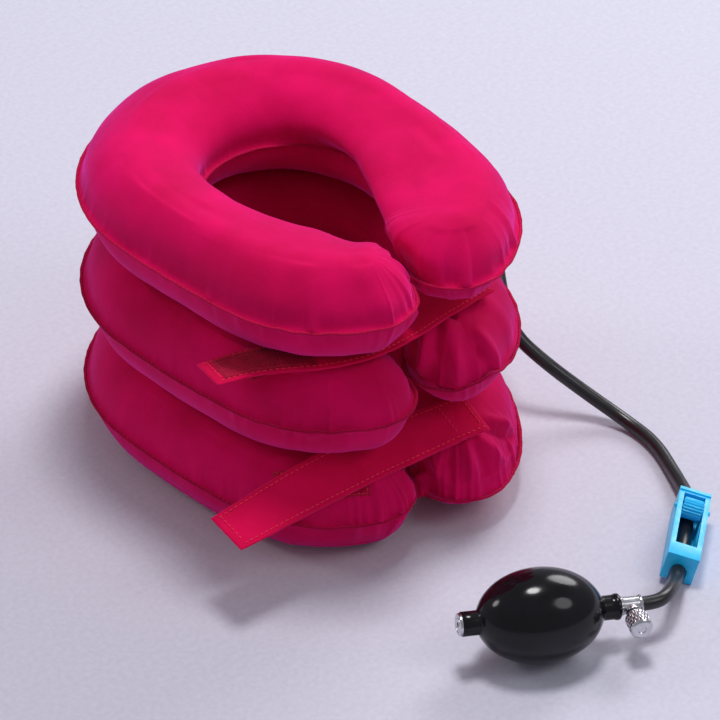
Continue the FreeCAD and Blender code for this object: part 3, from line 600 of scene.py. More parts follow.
def tier_point(tier, row, ring, sign):
    """A point of the plain inflated surface; ring runs from 0 at the seam to 1 at the ridge."""
    seam, ridge, share, inside = row
    shift, rise_of_seam = droop(tier, seam, share)
    seam, ridge = seam + shift * (1 - SEAM_SHIFT_FADE * ring), ridge + shift * RIDGE_SHIFT
    arm = arm_of(seam)
    angle = EDGE_ANGLE + (math.pi / 2 - EDGE_ANGLE) * ring ** 1.2
    inward = 1 - math.cos(angle) / math.cos(EDGE_ANGLE)
    rise = (math.sin(angle) - math.sin(EDGE_ANGLE)) / (1 - math.sin(EDGE_ANGLE))
    bulge = NAPE_BULGE + (INNER_BULGE[arm][tier] - NAPE_BULGE) * smooth(0.12, 0.45, share)
    bulge *= 1 - TIP_THINNING * smooth(0.8, 1.0, share)
    bulge *= inside ** CAP_FADE[arm] * (1.0 if sign > 0 else LOWER_BULGE)
    swell = math.sin(math.pi * min(1.0, ring * 1.12)) ** 1.3
    flat = seam.lerp(ridge, inward) + (seam - ridge).normalized() * bulge * swell
    if share > CONTACT_FROM:
        side = 1 if arm == ARM_RIGHT else -1
        meet = CONTACT_SLANT * (flat.y - CONTACT_Y) if tier == "top" else 0.0
        past = (side * (flat.x - meet) - ARM_CONTACT) / CONTACT_ROUNDING
        flat.x = meet + side * (ARM_CONTACT + CONTACT_ROUNDING * rounded_ramp(past))
    depth = half_height(tier, share)
    if sign < 0:
        depth *= 1 - FLATTER_UNDERSIDE[arm][tier] * smooth(0.62, 0.85, share)
    elif arm == ARM_LEFT:
        depth *= 1 - TIP_SLOPE * smooth(0.82, 1.0, share) * math.sin(math.pi * rise)
    height = SEAM_Z[tier] + sign * depth * rise
    return Vector((flat.x * MM, flat.y * MM, height + rise_of_seam * (1 - rise) ** 1.5 * MM))


def fold_height(tier, place):
    """How far the listed folds move this point, in millimetres."""
    total = 0.0
    for start, end, width, depth in FOLDS[tier]:
        a, b = Vector(start), Vector(end)
        share = min(1.0, max(0.0, (place - a).dot(b - a) / (b - a).length_squared))
        gap = (place - a.lerp(b, share)).length
        if gap < 3 * width:
            middle = math.sin(math.pi * share)
            total += depth * bump_at(gap, 0, width) * (FOLD_END + (1 - FOLD_END) * middle)
    lowest, highest = FOLD_LIMITS
    return min(highest, max(lowest, total))


def surface_move(tier, row, ring, sign, place):
    """How far the fabric stands off the plain surface, in millimetres."""
    seam, _, share, _ = row
    arm = arm_of(seam)
    off_seam = abs(place.z - SEAM_Z[tier] / MM)
    rising = 1 - math.exp(-off_seam / SEAM_PINCH)
    loose = BASE_SLACK + SLACK[arm][tier] * smooth(0.6, 0.95, share)
    spot = Vector((seam.x, seam.y, 40.0 * TIERS.index(tier) + 9.0 * sign))
    ease = PUCKER_EASE - (TAUT_TIP_EASE * smooth(0.9, 1.0, share) if arm == ARM_LEFT else 0.0)
    pucker = max(0.0, noise.noise(spot / 7.0) + 0.5 * noise.noise(spot / 3.0) - ease)
    reach = PUCKER_REACH + TIP_PUCKER_REACH * smooth(0.6, 1.0, share) * (1.0 if sign > 0 else 0.5)
    fade = math.exp(-off_seam / reach) * (1 - smooth(0.6, 0.95, ring))
    roll = SEAM_ROLL * off_seam / SEAM_ROLL_WIDTH * math.exp(1 - off_seam / SEAM_ROLL_WIDTH)
    broad = SWELLS * noise.noise(place / 34.0 + Vector((3, 8, 40)))
    broad += RIPPLES * loose * noise.noise(place / 13.0)
    folds = fold_height(tier, place) * (1.0 if sign > 0 else LOWER_FOLDS)
    move = roll + (broad + folds - PUCKER_DEPTH * loose * pucker * fade) * rising
    meets_tier = ring > 0.72 and share > 0.4
    meets_floor = (tier, sign) == ("bottom", -1) and ring > 0.5
    return min(move, 0.0) if meets_tier or meets_floor else move


def tier_cover(tier):
    """One tier's two inflated panels, joined at the seam and at the ridges."""
    rows = len(PLAN)
    vertices, faces, marks = [], [], []
    for sign in (1, -1):
        base = len(vertices)
        for ring in range(RINGS + 1):
            vertices += [tier_point(tier, row, ring / RINGS, sign) for row in PLAN]
            marks += [(row, ring / RINGS, sign) for row in PLAN]
        for ring in range(RINGS):
            for k in range(rows):
                n = (k + 1) % rows
                a, b = base + ring * rows + k, base + ring * rows + n
                quad = (a, b, b + rows, a + rows)
                faces.append(quad if sign > 0 else quad[:1] + quad[:0:-1])
    cover = mesh_object(tier + "_tier_cover", vertices, faces)
    normals = [Vector(item.vector) for item in cover.data.vertex_normals]
    for vertex, normal, (row, ring, sign) in zip(cover.data.vertices, normals, marks):
        upright = Vector((0, 0, sign))
        facing = normal.lerp(upright, smooth(0.75, 0.95, ring)).normalized()
        vertex.co += facing * surface_move(tier, row, ring, sign, vertex.co / MM) * MM
    finish_piece(tidy_mesh(cover, 0.00008), VELOUR, "collar", "velour",
                 tier + "_upper_panel", tier + "_lower_panel", tier + "_air_cell")
    return cover


EDGE_ROOT, EDGE_REACH, EDGE_HALF = -1.6, 1.3, 0.5


def seam_edge(tier):
    """The narrow sewn edge that stands out between a tier's two panels, and its thread."""
    rings, path = [], []
    for seam, ridge, share, _ in PLAN:
        out = (seam - ridge).normalized()
        shift, rise = droop(tier, seam, share)
        spot = Vector((seam.x, seam.y, 90.0 * TIERS.index(tier)))
        sway = noise.noise(spot / 9.0) * (0.3 + 0.7 * smooth(0.6, 1.0, share))
        reach = EDGE_REACH + 0.35 * noise.noise(spot / 5.0)
        centre = Vector((seam.x + shift.x, seam.y + shift.y, SEAM_Z[tier] / MM + rise + sway))
        out = Vector((out.x, out.y, 0.35 + 0.2 * sway)).normalized()
        up = out.cross(Vector((-out.y, out.x, 0))).normalized()
        lower = [(EDGE_ROOT, -EDGE_HALF), (0.2, -EDGE_HALF - 0.12), (reach - 0.3, -EDGE_HALF)]
        profile = lower + [(reach, 0.0)] + [(along, -across) for along, across in reversed(lower)]
        rings.append([(centre + out * along + up * across) * MM for along, across in profile])
        face = up if up.z > 0 else -up
        path.append(((centre + out * 0.4 + face * (EDGE_HALF + 0.06)) * MM, face))
    piece = tidy_mesh(mesh_object(tier + "_seam_edge", *tube(rings, looped=True)), 0.000005)
    # The edge uses the darker copy of the velour: painted shade on the sewn edge.
    finish_piece(piece, PAINTED_SHADE_VELOUR_EDGE, "collar", "welt", tier + "_seam_welt")
    finish_piece(thread_run(tier + "_seam_thread", path + path[:1], 0.0031, 0.00036), SEAM_THREAD,
                 "collar", "welt")


COVERS = {tier: tier_cover(tier) for tier in TIERS}
for seam_tier in TIERS:
    seam_edge(seam_tier)


def surface_tree(piece):
    return BVHTree.FromPolygons([v.co.copy() for v in piece.data.vertices],
                                [tuple(p.vertices) for p in piece.data.polygons])


SURFACE = {tier: surface_tree(piece) for tier, piece in COVERS.items()}


RAY_START, RAY_LENGTH = 0.034, 0.05  # above the seam, and downwards
ROLL_STEP = 0.0012


def cover_top(tier, x, y):
    """Where a vertical line meets the top of a tier's cover: (place, facing) or None."""
    above = Vector((x, y, SEAM_Z[tier] + RAY_START))
    place, facing, _, _ = SURFACE[tier].ray_cast(above, -UP, RAY_LENGTH)
    if place is None or place.z < SEAM_Z[tier] - 0.002:
        return None
    return place, (facing if facing.z > 0 else -facing)


def cover_along(tier, middle, offset):
    """The cover under a point of a flat patch, rolled over the shoulder past the patch's middle."""
    foot = cover_top(tier, *middle)[0]
    tilt = offset.to_3d()
    steps = max(1, int(tilt.length / ROLL_STEP))
    for _ in range(steps):
        place, facing, _, _ = SURFACE[tier].find_nearest(foot)
        ahead = tilt - facing * tilt.dot(facing)
        step = ahead.normalized() * tilt.length / steps
        foot = SURFACE[tier].find_nearest(place + step)[0]
    place, facing, _, _ = SURFACE[tier].find_nearest(foot)
    return place, (facing if facing.z > 0 else -facing)


# -------- joins between the tiers
JOIN_BOTTOM = {"lower_tier_join": "bottom", "upper_tier_join": "middle"}
JOIN_PROFILE = ((-4, 0), (-3.3, 1), (-3.1, 2), (-3.3, 3), (-4, 4),
                (4, 4), (3.3, 3), (3.1, 2), (3.3, 1), (4, 0))
JOIN_STEPS = 120


def tier_join(node, tier):
    """The band of velour that is sewn between two tiers round the nape."""
    centre = Vector((0, (NAPE_OUTER["y"] + NAPE_INNER["y"]) / 2))
    middle = (NAPE_OUTER["radius"] + NAPE_INNER["radius"]) / 2
    bottom = TIER_TOP[tier] / MM
    rings = []
    for k in range(JOIN_STEPS + 1):
        angle = math.radians(-10 + 200 * k / JOIN_STEPS)
        out = Vector((math.cos(angle), math.sin(angle)))
        ring = []
        for along, height in JOIN_PROFILE:
            wave = 0.25 * noise.noise(Vector((k / 3, height, bottom)))
            flat = centre + out * (middle + along + wave)
            ring.append(Vector((flat.x, flat.y, bottom + height)) * MM)
        rings.append(ring)
    finish_piece(mesh_object(node + "_band", *tube(rings)), VELOUR, "collar", "velour", node)


for join_node, join_tier in JOIN_BOTTOM.items():
    tier_join(join_node, join_tier)


# -------- straps and patches
STRAP_WIDTH = 27.0
STRAP_THICKNESS = 1.3
HEM = 2.6
STRAP_STATIONS = 110
CURVE_STEPS = 24  # between two points of a strap's line
STITCH_PITCH = 0.0032
# Middle line of each strap from its sewn end, in millimetres, with its roll in degrees.
LOWER_STRAP_LINE = [(35, -96, 14), (18, -94, 16), (0, -92.3, 22), (-22, -90.5, 28), (-45, -89, 31),
                    (-68, -87.2, 28), (-92, -85.3, 19), (-123, -83, 8)]
UPPER_STRAP_LINE = [(54, -74.0, 0), (38, -75, 0), (16, -77, 0), (-8, -80, 0), (-32, -79, 0),
                    (-52, -71, 2), (-72, -60.5, -3), (-90, -53.0, -7), (-106, -48.5, -10)]
UPPER_STRAP_Z, UPPER_END_DROP = 121.1, 1.0
LOWER_HOOKS_FROM, UPPER_HOOKS_FROM = 0.62, 0.66  # shares of the straps' lengths
# The lower strap lies on its tier as far as LOWER_STRAP_FREE and then sags to its end, and it
# stays clear of the tier at each of the swings.
LOWER_STRAP_END_Z = 46.8
LOWER_STRAP_PIVOT = Vector((31.0, -92.0)) * MM
LOWER_STRAP_SWINGS = (0, 14, 28, 42, 55)
LOWER_STRAP_FREE, LOWER_STRAP_SAG = 64, 2.0
LOWER_STRAP_GAP = 0.75


def along_line(line, count):
    """Even (distance, (x, y, roll)) on a smooth curve through the line's points."""
    dense = []
    ends = [line[0]] + line + [line[-1]]
    for p0, p1, p2, p3 in zip(ends, ends[1:], ends[2:], ends[3:]):
        for k in range(CURVE_STEPS):
            t = k / CURVE_STEPS
            dense.append([0.5 * (2 * b + (c - a) * t + (2 * a - 5 * b + 4 * c - d) * t * t
                                 + (3 * b - a - 3 * c + d) * t ** 3)
                          for a, b, c, d in zip(p0, p1, p2, p3)])
    dense.append(list(line[-1]))
    reach = distances([point[:2] for point in dense])
    points = []
    for k in range(count):
        target = reach[-1] * k / (count - 1)
        index, share = stretch_at(reach, target)
        points.append((target, [a + (b - a) * share for a, b in zip(dense[index], dense[index + 1])]))
    return points


def taut(samples):
    """Heights of the tightest line over (distance, height) samples."""
    hull = []
    for sample in samples:
        while len(hull) > 1:
            (x0, y0), (x1, y1) = hull[-2], hull[-1]
            if (y1 - y0) * (sample[0] - x0) > (sample[1] - y0) * (x1 - x0):
                break
            hull.pop()
        hull.append(sample)
    heights, index = [], 0
    for distance, _ in samples:
        while index < len(hull) - 2 and hull[index + 1][0] < distance:
            index += 1
        (x0, y0), (x1, y1) = hull[index], hull[index + 1]
        heights.append(y0 + (y1 - y0) * (distance - x0) / (x1 - x0))
    return heights


def strap_frames(points, heights):
    """(centre, across, face) at each station, in metres."""
    centres = [Vector((p[0], p[1], z)) * MM for (_, p), z in zip(points, heights)]
    frames = []
    for k, centre in enumerate(centres):
        ahead = (centres[min(k + 1, len(centres) - 1)] - centres[max(k - 1, 0)]).normalized()
        flat = UP.cross(ahead).normalized()
        roll = math.radians(points[k][1][2])
        across = (flat * math.cos(roll) - ahead.cross(flat) * math.sin(roll)).normalized()
        face = ahead.cross(across).normalized()
        frames.append((centre, across, face if face.z > 0 else -face))
    return frames


def shifted(frames, across, up):
    """The same frames moved sideways and off their faces, in millimetres."""
    return [(centre + (side * across + face * up) * MM, side, face)
            for centre, side, face in frames]


def ribbon(name, frames, width, thickness):
    """A folded and edge-sewn band: thicker hems, a furrow under each row of stitches."""
    half = width / 2
    hem = [-half + a for a in (0, 0.5, 1.5, HEM, 3.6, 4.6)]
    middle = [-half + 4.6 + (width - 9.2) * k / 10 for k in range(1, 10)]
    across = hem + middle + [-a for a in reversed(hem)]
    rings = []
    for k, (centre, side, face) in enumerate(frames):
        from_end = min(k, len(frames) - 1 - k)
        taper = min(1.0, 0.35 + from_end * 0.5)
        ring = []
        for direction in (1, -1):
            for a in across[::direction]:
                edge = half - abs(a)
                height = thickness / 2 * (0.45 + 0.55 * smooth(0, 0.7, edge))
                height += 0.14 * bump_at(edge, 1.2, 0.8) - 0.24 * bump_at(edge, HEM, 0.45)
                place = centre / MM + side * a
                ripple = 0.22 * noise.noise(Vector((k * 0.45, a * 0.2, 7))) \
                    + 0.18 * noise.noise(place / 3.0)
                drift = 0.35 * noise.noise(Vector((k * 0.16, 3 if a > 0 else 11, 5)))
                ring.append((place + side * drift * smooth(4, 0, edge)
                             + face * (direction * height * taper + ripple)) * MM)
        rings.append(ring)
    return tidy_mesh(mesh_object(name, *tube(rings)), 0.000003)


def strap_threads(name, frames, body, slot):
    """Stitches along both long edges and across near both ends."""
    inner = STRAP_WIDTH / 2 - HEM
    runs = []
    for offset in (-inner, inner):
        path = [(place, face) for place, _, face
                in shifted(frames[1:-1], offset, STRAP_THICKNESS / 2 + 0.05)]
        runs.append(thread_run(name + "_edge", path, STITCH_PITCH, 0.00066))
    for station in (2, 12, len(frames) - 4):
        path = []
        for k in range(21):
            offset = inner * (k / 10 - 1)
            place, _, face = shifted([frames[station]], offset, STRAP_THICKNESS / 2 + 0.12)[0]
            path.append((place, face))
        runs.append(thread_run(name + "_row", path, STITCH_PITCH, 0.00070))
    finish_piece(joined(runs, name), THREAD, body, slot)


def strap(body, points, heights, thread_slot):
    """A strap's sewn band; returns its frames."""
    frames = strap_frames(points, heights)
    piece = ribbon(body + "_band", frames, STRAP_WIDTH, STRAP_THICKNESS)
    finish_piece(piece, STRAP_CLOTH, body, "velour", body)
    strap_threads(body + "_threads", frames, body, thread_slot)
    return frames


def room_under(spot, centre, side):
    """The lowest height at which the lower strap clears its tier at all its swings."""
    need = -100.0
    roll = math.radians(spot[2])
    for k in range(9):
        a = STRAP_WIDTH * (k / 8 - 0.5)
        reach = side.xy.normalized() * a * MM
        for swing in LOWER_STRAP_SWINGS:
            turn = Matrix.Rotation(math.radians(swing), 2)
            under = LOWER_STRAP_PIVOT + turn @ (centre.xy + reach - LOWER_STRAP_PIVOT)
            hit = cover_top("bottom", *under)
            if hit:
                tilt = a * math.sin(roll) * (1 if side.z > 0 else -1)
                need = max(need, hit[0].z / MM + STRAP_THICKNESS / 2 + LOWER_STRAP_GAP - tilt)
    return need


def lower_strap():
    points = along_line(LOWER_STRAP_LINE, STRAP_STATIONS)
    flat = strap_frames(points, [LOWER_STRAP_END_Z] * STRAP_STATIONS)
    samples = [(distance, room_under(spot, centre, side))
               for (distance, spot), (centre, side, _) in zip(points, flat)]
    root, root_height = samples[LOWER_STRAP_FREE]
    length = samples[-1][0]
    heights = taut(samples[:-1] + [(length, root_height)])
    for k, (distance, _) in enumerate(samples):
        sag = max(0.0, (distance - root) / (length - root)) ** LOWER_STRAP_SAG
        heights[k] += (LOWER_STRAP_END_Z - heights[k]) * sag
    frames = strap("lower_strap", points, heights, "velour")
    under = shifted(frames[int(STRAP_STATIONS * LOWER_HOOKS_FROM):-4], 0,
                    -STRAP_THICKNESS / 2 - 0.30)
    hook = ribbon("lower_hook_band", under, STRAP_WIDTH - 4, 0.5)
    finish_piece(hook, HOOK_TAPE, "lower_strap", "hook_tape", "lower_hook_patch")


def upper_strap():
    points = along_line(UPPER_STRAP_LINE, STRAP_STATIONS)
    heights = [UPPER_STRAP_Z - UPPER_END_DROP * smooth(0.86, 1.0, k / (STRAP_STATIONS - 1))
               for k in range(STRAP_STATIONS)]
    frames = strap("upper_strap", points, heights, "hook_tape")
    over = shifted(frames[int(STRAP_STATIONS * UPPER_HOOKS_FROM):-4], 0, STRAP_THICKNESS / 2 + 0.22)
    tape = ribbon("upper_hook_band", over, STRAP_WIDTH - 6.5, 0.45)
    finish_piece(tape, HOOK_TAPE, "upper_strap", "hook_tape", "upper_hook_patch")
    finish_piece(hook_field("upper_hooks", over, STRAP_WIDTH - 8.0, 0.15), HOOKS, "upper_strap",
                 "hook_tape")


HOOK_PITCH = 1.15
# A bent hook's rings, in millimetres: (height, radius, how far it has curled over).
HOOK_RINGS = ((0.0, 0.17, 0.0), (0.4, 0.14, 0.15), (0.72, 0.13, 0.7), (0.62, 0.07, 1.1))


def hook_field(name, frames, width, lift):
    """Rows of small bent nylon hooks standing on a tape."""
    vertices, faces = [], []
    for row, (centre, side, face) in enumerate(frames[1:-1]):
        ahead = face.cross(side).normalized()
        for k in range(int(width / HOOK_PITCH)):
            a = -width / 2 + HOOK_PITCH * (k + 0.5 * (row % 2))
            jitter = noise.noise(Vector((row * 3.1, k * 2.7, 1)))
            base = centre + side * (a + 0.25 * jitter) * MM + face * lift * MM
            lean = (ahead * jitter + side * noise.noise(Vector((k * 3.3, row * 1.9, 4)))) * 0.5
            rings = []
            for height, radius, curl in HOOK_RINGS:
                spot = base + face * height * MM + lean * curl * MM
                rings.append(ring_round(spot, side, ahead, radius * MM, 4))
            add_tube(vertices, faces, rings)
    return mesh_object(name, vertices, faces)


def grid_loop(rows, count, inset):
    """Indices of the loop round a grid of points, this many points in from its edge."""
    low, right, far = inset, count - 1 - inset, rows - 1 - inset
    return [low * count + j for j in range(low, right + 1)] \
        + [i * count + right for i in range(low + 1, far + 1)] \
        + [far * count + j for j in range(right - 1, low - 1, -1)] \
        + [i * count + low for i in range(far - 1, low, -1)]


PATCH_STEP = 0.8


def draped_patch(name, tier, at, bearing, size, thickness, rough):
    """A patch that lies on a tier's cover, with a thin rounded edge; also its line of stitches."""
    turn = Matrix.Rotation(math.radians(bearing), 2)
    length, width = size
    rows, count = int(length / PATCH_STEP) + 1, int(width / PATCH_STEP) + 1
    top, bottom = [], []
    for i in range(rows):
        for j in range(count):
            flat = turn @ Vector((length * (i / (rows - 1) - 0.5), width * (j / (count - 1) - 0.5)))
            place, facing = cover_along(tier, Vector(at) * MM, flat * MM)
            edge = min(i, j, rows - 1 - i, count - 1 - j)
            lift = thickness * (0.3 + 0.7 * smooth(0, 1.6, edge))
            lift += rough * noise.noise(Vector((i * 0.9, j * 0.9, at[0]))) * smooth(0.5, 2, edge)
            top.append(place + facing * lift * MM)
            bottom.append(place + facing * 0.04 * MM)
    faces = []
    for i in range(rows - 1):
        for j in range(count - 1):
            a = i * count + j
            faces.append((a, a + count, a + count + 1, a + 1))
            b = a + len(top)
            faces.append((b, b + 1, b + count + 1, b + count))
    rim = grid_loop(rows, count, 0)
    for a, b in zip(rim, rim[1:] + rim[:1]):
        faces.append((a, b, b + len(top), a + len(top)))
    stitched = grid_loop(rows, count, 2)
    path = [(top[index] + UP * 0.00010, UP) for index in stitched + stitched[:1]]
    return tidy_mesh(mesh_object(name, top + bottom, faces), 0.000002), path


# (tier, node, middle, bearing in degrees, size), in millimetres.
LOOP_PATCHES = (("bottom", "lower_loop_patch", (-60, -84), -34, (49, 22)),
                ("middle", "upper_loop_patch", (-62.5, -57.5), -24, (42, 19)))
STRAP_TABS = (("bottom", "lower_strap_tab", (31, -92), 174.6, (11, 11)),
              ("middle", "upper_strap_tab", (46, -74.5), 183.5, (11, 11)))


def patches():
    for tier, node, *place_and_size in LOOP_PATCHES:
        piece, path = draped_patch(node + "_pile", tier, *place_and_size, 0.8, 0.30)
        finish_piece(piece, LOOP_PILE, "collar", "loop_tape", node)
        finish_piece(thread_run(node + "_threads", path, 0.0026, 0.00045), THREAD, "collar",
                     "loop_tape")
    for tier, node, *place_and_size in STRAP_TABS:
        piece, _ = draped_patch(node + "_cloth", tier, *place_and_size, 0.30, 0.05)
        finish_piece(piece, STRAP_CLOTH, "collar", "velour", node)


lower_strap()
upper_strap()
patches()


# -------- hose
def hose():
    curve = bpy.data.curves.new("hose", "CURVE")
    curve.dimensions = "3D"
    curve.bevel_depth = HOSE_DIAMETER / 2
    curve.bevel_resolution = 8
    curve.resolution_u = 16
    curve.use_fill_caps = True
    spline = curve.splines.new("NURBS")
    spline.points.add(len(HOSE_ROUTE) - 1)
    for point, place in zip(spline.points, HOSE_ROUTE):
        point.co = (*place, 1)
    spline.order_u = 3
    spline.use_endpoint_u = True
    piece = linked("hose", curve)
    finish_piece(piece, RUBBER, "collar", "hose_rubber",
                 "hose_collar_side", "hose_in_clamp", "hose_bulb_side")


# -------- roller clamp
CLAMP_INSET = 6.0
CLAMP_ROLL = -14.0
ROLLER = {"at": (13.0, 0.0, 9.5), "radius": 5.6, "width": 10.6, "bore": 1.25, "ribs": 20}
AXLE = {"radius": 1.2, "length": 19.4}


def clamp_matrix():
    """X along the hose towards the bulb, Z out of the clamp's open side."""
    start, end = Vector(HOSE_ROUTE[CLAMP_RUN - 1]), Vector(HOSE_ROUTE[CLAMP_RUN])
    ahead = (end - start).normalized()
    turn = Matrix.Rotation(math.atan2(ahead.y, ahead.x), 4, "Z") \
        @ Matrix.Rotation(math.radians(CLAMP_ROLL), 4, "X")
    return Matrix.Translation(start + ahead * CLAMP_INSET * MM) @ turn


def bevelled_copy(node, name, width):
    """The CAD node's own shape with its edges broken, as moulded plastic has."""
    source = frame["nodes"][node]
    work = bmesh.new()
    work.from_mesh(source.data)
    work.transform(source.matrix_world)
    bmesh.ops.remove_doubles(work, verts=work.verts, dist=0.000005)
    bmesh.ops.dissolve_limit(work, angle_limit=math.radians(3), verts=work.verts, edges=work.edges)
    sharp = [e for e in work.edges if len(e.link_faces) == 2
             and e.calc_face_angle(0) > math.radians(35)]
    bmesh.ops.bevel(work, geom=sharp, offset=width, segments=2, profile=0.6, affect="EDGES",
                    clamp_overlap=True)
    bmesh.ops.triangulate(work, faces=work.faces)
    bmesh.ops.recalc_face_normals(work, faces=work.faces)
    return sharp_by_angle(from_work(name, work), 32)


def clamp():
    finish_piece(bevelled_copy("clamp_body", "clamp_shell", 0.00032), PLASTIC, "collar",
                 "clamp_plastic", "clamp_body")
    across = clamp_matrix() @ Matrix.Translation(Vector(ROLLER["at"]) * MM) \
        @ Matrix.Rotation(math.pi / 2, 4, "Z")
    half, radius, bore = ROLLER["width"] / 2, ROLLER["radius"], ROLLER["bore"]

    def ribs(along, angle):
        wave = 0.5 - 0.5 * math.cos(angle * ROLLER["ribs"])
        return 0.75 * wave ** 0.8 if abs(along) < half - 0.2 else 0.2

    side = [(half, bore), (half, 2.2), (half - 0.5, 2.7), (half - 0.5, 3.6), (half, 4.0),
            (half, radius - 0.5), (half - 0.45, radius)]
    wheel = lathe("clamp_wheel", [(-along, out) for along, out in side] + side[::-1],
                  across, 240, ribs)
    finish_piece(sharp_by_angle(wheel, 50), PLASTIC, "roller", "clamp_plastic", "clamp_roller")
    reach = AXLE["length"] / 2
    end = [(reach, 0.001), (reach, AXLE["radius"] - 0.25), (reach - 0.25, AXLE["radius"])]
    pin = lathe("clamp_pin", [(-along, out) for along, out in end] + end[::-1], across, 48)
    finish_piece(sharp_by_angle(pin, 50), PLASTIC, "roller_carriage", "clamp_plastic", "clamp_axle")


clamp()
hose()

# -------- bulb and valves
BULB = {"x": -25.5, "y": -214.7, "bearing": -25.0, "pitch": 4.0, "half_length": 33.5,
        "half_height": 24.7, "wall": 2.2, "neck": 6.4, "bore": 4.2, "reach": 42.0}
BRANCH_AT = 48.0


def bulb_matrix():
    """X along the bulb's axis towards the valve, from the bulb's middle."""
    pitch = math.radians(BULB["pitch"])
    lowest = math.hypot(BULB["half_length"] * math.sin(pitch),
                        BULB["half_height"] * math.cos(pitch))
    middle = Vector((BULB["x"], BULB["y"], lowest)) * MM
    return Matrix.Translation(middle) @ Matrix.Rotation(math.radians(BULB["bearing"]), 4, "Z") \
        @ Matrix.Rotation(pitch, 4, "Y")


def oval_with_necks(half_length, half_height, neck):
    """(along, radius) points of an oval that flows into a neck at each end."""
    points = [(-BULB["reach"], neck), (-half_length - 3.5, neck)]
    count = 96
    for k in range(count + 1):
        angle = math.pi * (1 - k / count)
        along = half_length * math.cos(angle)
        oval = half_height * math.sin(angle)
        points.append((along, (oval ** 7 + neck ** 7) ** (1 / 7)))
    return points + [(half_length + 3.5, neck), (BULB["reach"], neck)]


def bulb():
    wall, reach, neck = BULB["wall"], BULB["reach"], BULB["neck"]
    outer = oval_with_necks(BULB["half_length"], BULB["half_height"], neck)
    inner = oval_with_necks(BULB["half_length"] - wall, BULB["half_height"] - wall, BULB["bore"])
    outer[0], outer[-1] = (-reach + 0.5, neck), (reach - 2.8, neck)
    outer = [(-reach, neck - 0.5)] + outer + [(reach - 2.3, neck + 0.45), (reach - 0.5, neck + 0.45),
                                             (reach, neck - 0.1)]
    shell = lathe("bulb_shell", outer + list(reversed(inner)), bulb_matrix(), 128)
    finish_piece(sharp_by_angle(shell, 60), BULB_RUBBER, "collar", "bulb_rubber", "rubber_bulb")


def inlet_seat():
    """Bright bush in the tail neck, with the small air hole."""
    profile = [(-43.3, 1.4), (-43.3, 3.2), (-43.1, 3.4), (-43.1, 3.9), (-43.3, 4.1), (-43.3, 5.4),
               (-43.15, 5.75), (-42.8, 5.9), (-42.0, 5.9), (-42.0, 4.15), (-33.0, 4.15),
               (-33.0, 1.4), (-34.0, 1.4), (-34.0, 2.35), (-41.0, 2.35), (-41.0, 1.4)]
    seat = lathe("inlet_bush", profile, bulb_matrix(), 96)
    finish_piece(sharp_by_angle(seat, 35), CHROME, "collar", "bright_metal", "inlet_valve_seat")


def valve():
    barrel = lathe("barrel", [(33.0, 1.4), (33.0, 4.15), (42.0, 4.15), (42.0, 4.9), (42.3, 5.2),
                              (43.3, 5.2), (43.6, 4.9), (43.6, 4.6), (52.4, 4.6), (52.4, 4.85),
                              (52.7, 5.0), (53.6, 5.0), (54.0, 4.6), (54.0, 1.5), (40.8, 1.5),
                              (40.8, 2.35), (34.0, 2.35), (34.0, 1.4)], bulb_matrix(), 96)
    side = bulb_matrix() @ Matrix.Translation((BRANCH_AT * MM, 0, 0)) \
        @ Matrix.Rotation(-math.pi / 2, 4, "Z")
    branch = lathe("branch", [(1.8, 1.5), (1.8, 3.1), (5.2, 3.1), (5.2, 3.7), (5.5, 3.9),
                              (6.3, 3.9), (6.6, 3.7), (6.6, 3.1), (9.2, 3.1), (9.5, 2.8),
                              (9.5, 1.5)], side, 72)
    body = joined([barrel, branch], "valve_barrel")
    finish_piece(sharp_by_angle(body, 35), CHROME, "collar", "bright_metal", "release_valve_body")
    ring = lathe("valve_seal", [(7.6 + 0.5 * math.cos(t), 3.55 + 0.5 * math.sin(t))
                                for t in (2 * math.pi * k / 20 for k in range(20))], side, 72)
    finish_piece(ring, SEAL, "collar", "seal_rubber", "valve_seal_ring")

    def knurl(along, angle):
        """Rows of raised squares, each row half a step round from the next."""
        if not 10.7 < along < 19.5:
            return 0.0
        row, place = divmod((along - 10.7) / 2.2, 1.0)
        turn = (angle / (2 * math.pi) * 16 + 0.5 * (row % 2)) % 1.0
        groove = max(bump_at(min(place, 1 - place) * 2.2, 0, 0.22),
                     bump_at(min(turn, 1 - turn) * 2.36, 0, 0.24))
        return 0.5 * groove

    rim = [(10.6 + 8.9 * k / 62, 6.0) for k in range(63)]
    knob = lathe("valve_knob", [(9.8, 1.5), (9.8, 5.2), (10.1, 5.7)] + rim
                 + [(20.1, 5.6), (20.6, 5.0), (20.8, 4.4), (20.8, 2.2), (20.4, 1.9), (20.4, 0.001),
                    (13.8, 0.001), (13.8, 1.5)], side, 256, knurl)
    finish_piece(sharp_by_angle(knob, 40), CHROME, "release_knob", "bright_metal", "release_knob")


bulb()
inlet_seat()
valve()

for node_name, node_material in (("lower_air_link", FILM), ("upper_air_link", FILM),
                                 ("inlet_port", RUBBER), ("release_needle", CHROME),
                                 ("inlet_valve_ball", STEEL), ("outlet_valve_ball", STEEL)):
    node_mesh = frame["nodes"][node_name].data
    node_mesh.materials.clear()
    node_mesh.materials.append(node_material)


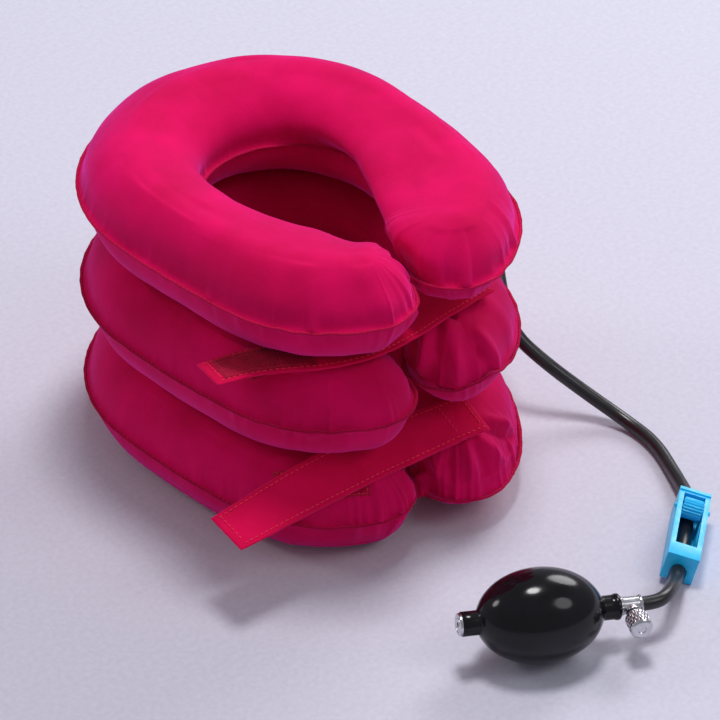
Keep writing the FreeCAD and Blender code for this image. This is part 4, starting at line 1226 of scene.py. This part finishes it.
# -------- floor, light and camera
def floor():
    size = 6.0
    piece = mesh_object("floor", [(-size, -size, 0), (size, -size, 0), (size, size, 0),
                                  (-size, size, 0)], [(0, 1, 2, 3)])
    material = new_material("floor_paper", (0.60, 0.59, 0.69), 0.85)
    mottle(material, 320.0, (0.570, 0.560, 0.650), (0.630, 0.620, 0.720), 0.3, 0.7)
    piece.data.materials.append(material)


LIT_SPOT = Vector((0, -0.05, 0.08))
# (name, place, size, power, colour)
LIGHTS = (("overhead", (0.25, 0.15, 2.1), 0.55, 21.0, (1.0, 0.99, 1.0)),
          ("right", (1.8, 0.5, 1.3), 1.1, 22.0, (0.98, 0.97, 1.0)),
          ("left", (-1.4, 1.6, 1.5), 0.6, 7.0, (1.0, 0.99, 1.0)),
          ("front", (0.9, -1.7, 1.9), 1.1, 9.0, (0.98, 0.98, 1.0)))


def area_light(name, place, size, power, color):
    light = bpy.data.lights.new(name, "AREA")
    light.shape = "ELLIPSE"
    light.size = light.size_y = size
    light.energy = power
    light.color = color
    piece = linked(name, light)
    piece.location = place
    piece.rotation_euler = (LIT_SPOT - Vector(place)).to_track_quat("-Z", "Y").to_euler()


VIEW = {"target": (0.002, -0.04037, 0.0747), "azimuth": -40.0, "elevation": 35.93,
        "distance": 2.3883, "sensor": 36.0, "lens": 226.9}


def camera():
    azimuth, elevation = math.radians(VIEW["azimuth"]), math.radians(VIEW["elevation"])
    back = Vector((math.sin(azimuth) * math.cos(elevation),
                   -math.cos(azimuth) * math.cos(elevation), math.sin(elevation)))
    data = bpy.data.cameras.new("camera")
    data.sensor_width = VIEW["sensor"]
    data.lens = VIEW["lens"]
    data.clip_end = 30.0
    piece = linked("camera", data)
    piece.location = Vector(VIEW["target"]) + back * VIEW["distance"]
    piece.rotation_euler = (-back).to_track_quat("-Z", "Y").to_euler()
    bpy.context.scene.camera = piece


def world():
    setting = bpy.data.worlds.new("studio")
    setting.use_nodes = True
    background = setting.node_tree.nodes["Background"]
    background.inputs["Color"].default_value = (0.88, 0.88, 1.0, 1)
    background.inputs["Strength"].default_value = 0.34
    bpy.context.scene.world = setting


floor()
for light_settings in LIGHTS:
    area_light(*light_settings)
world()
camera()
bpy.context.scene.view_settings.view_transform = "Standard"
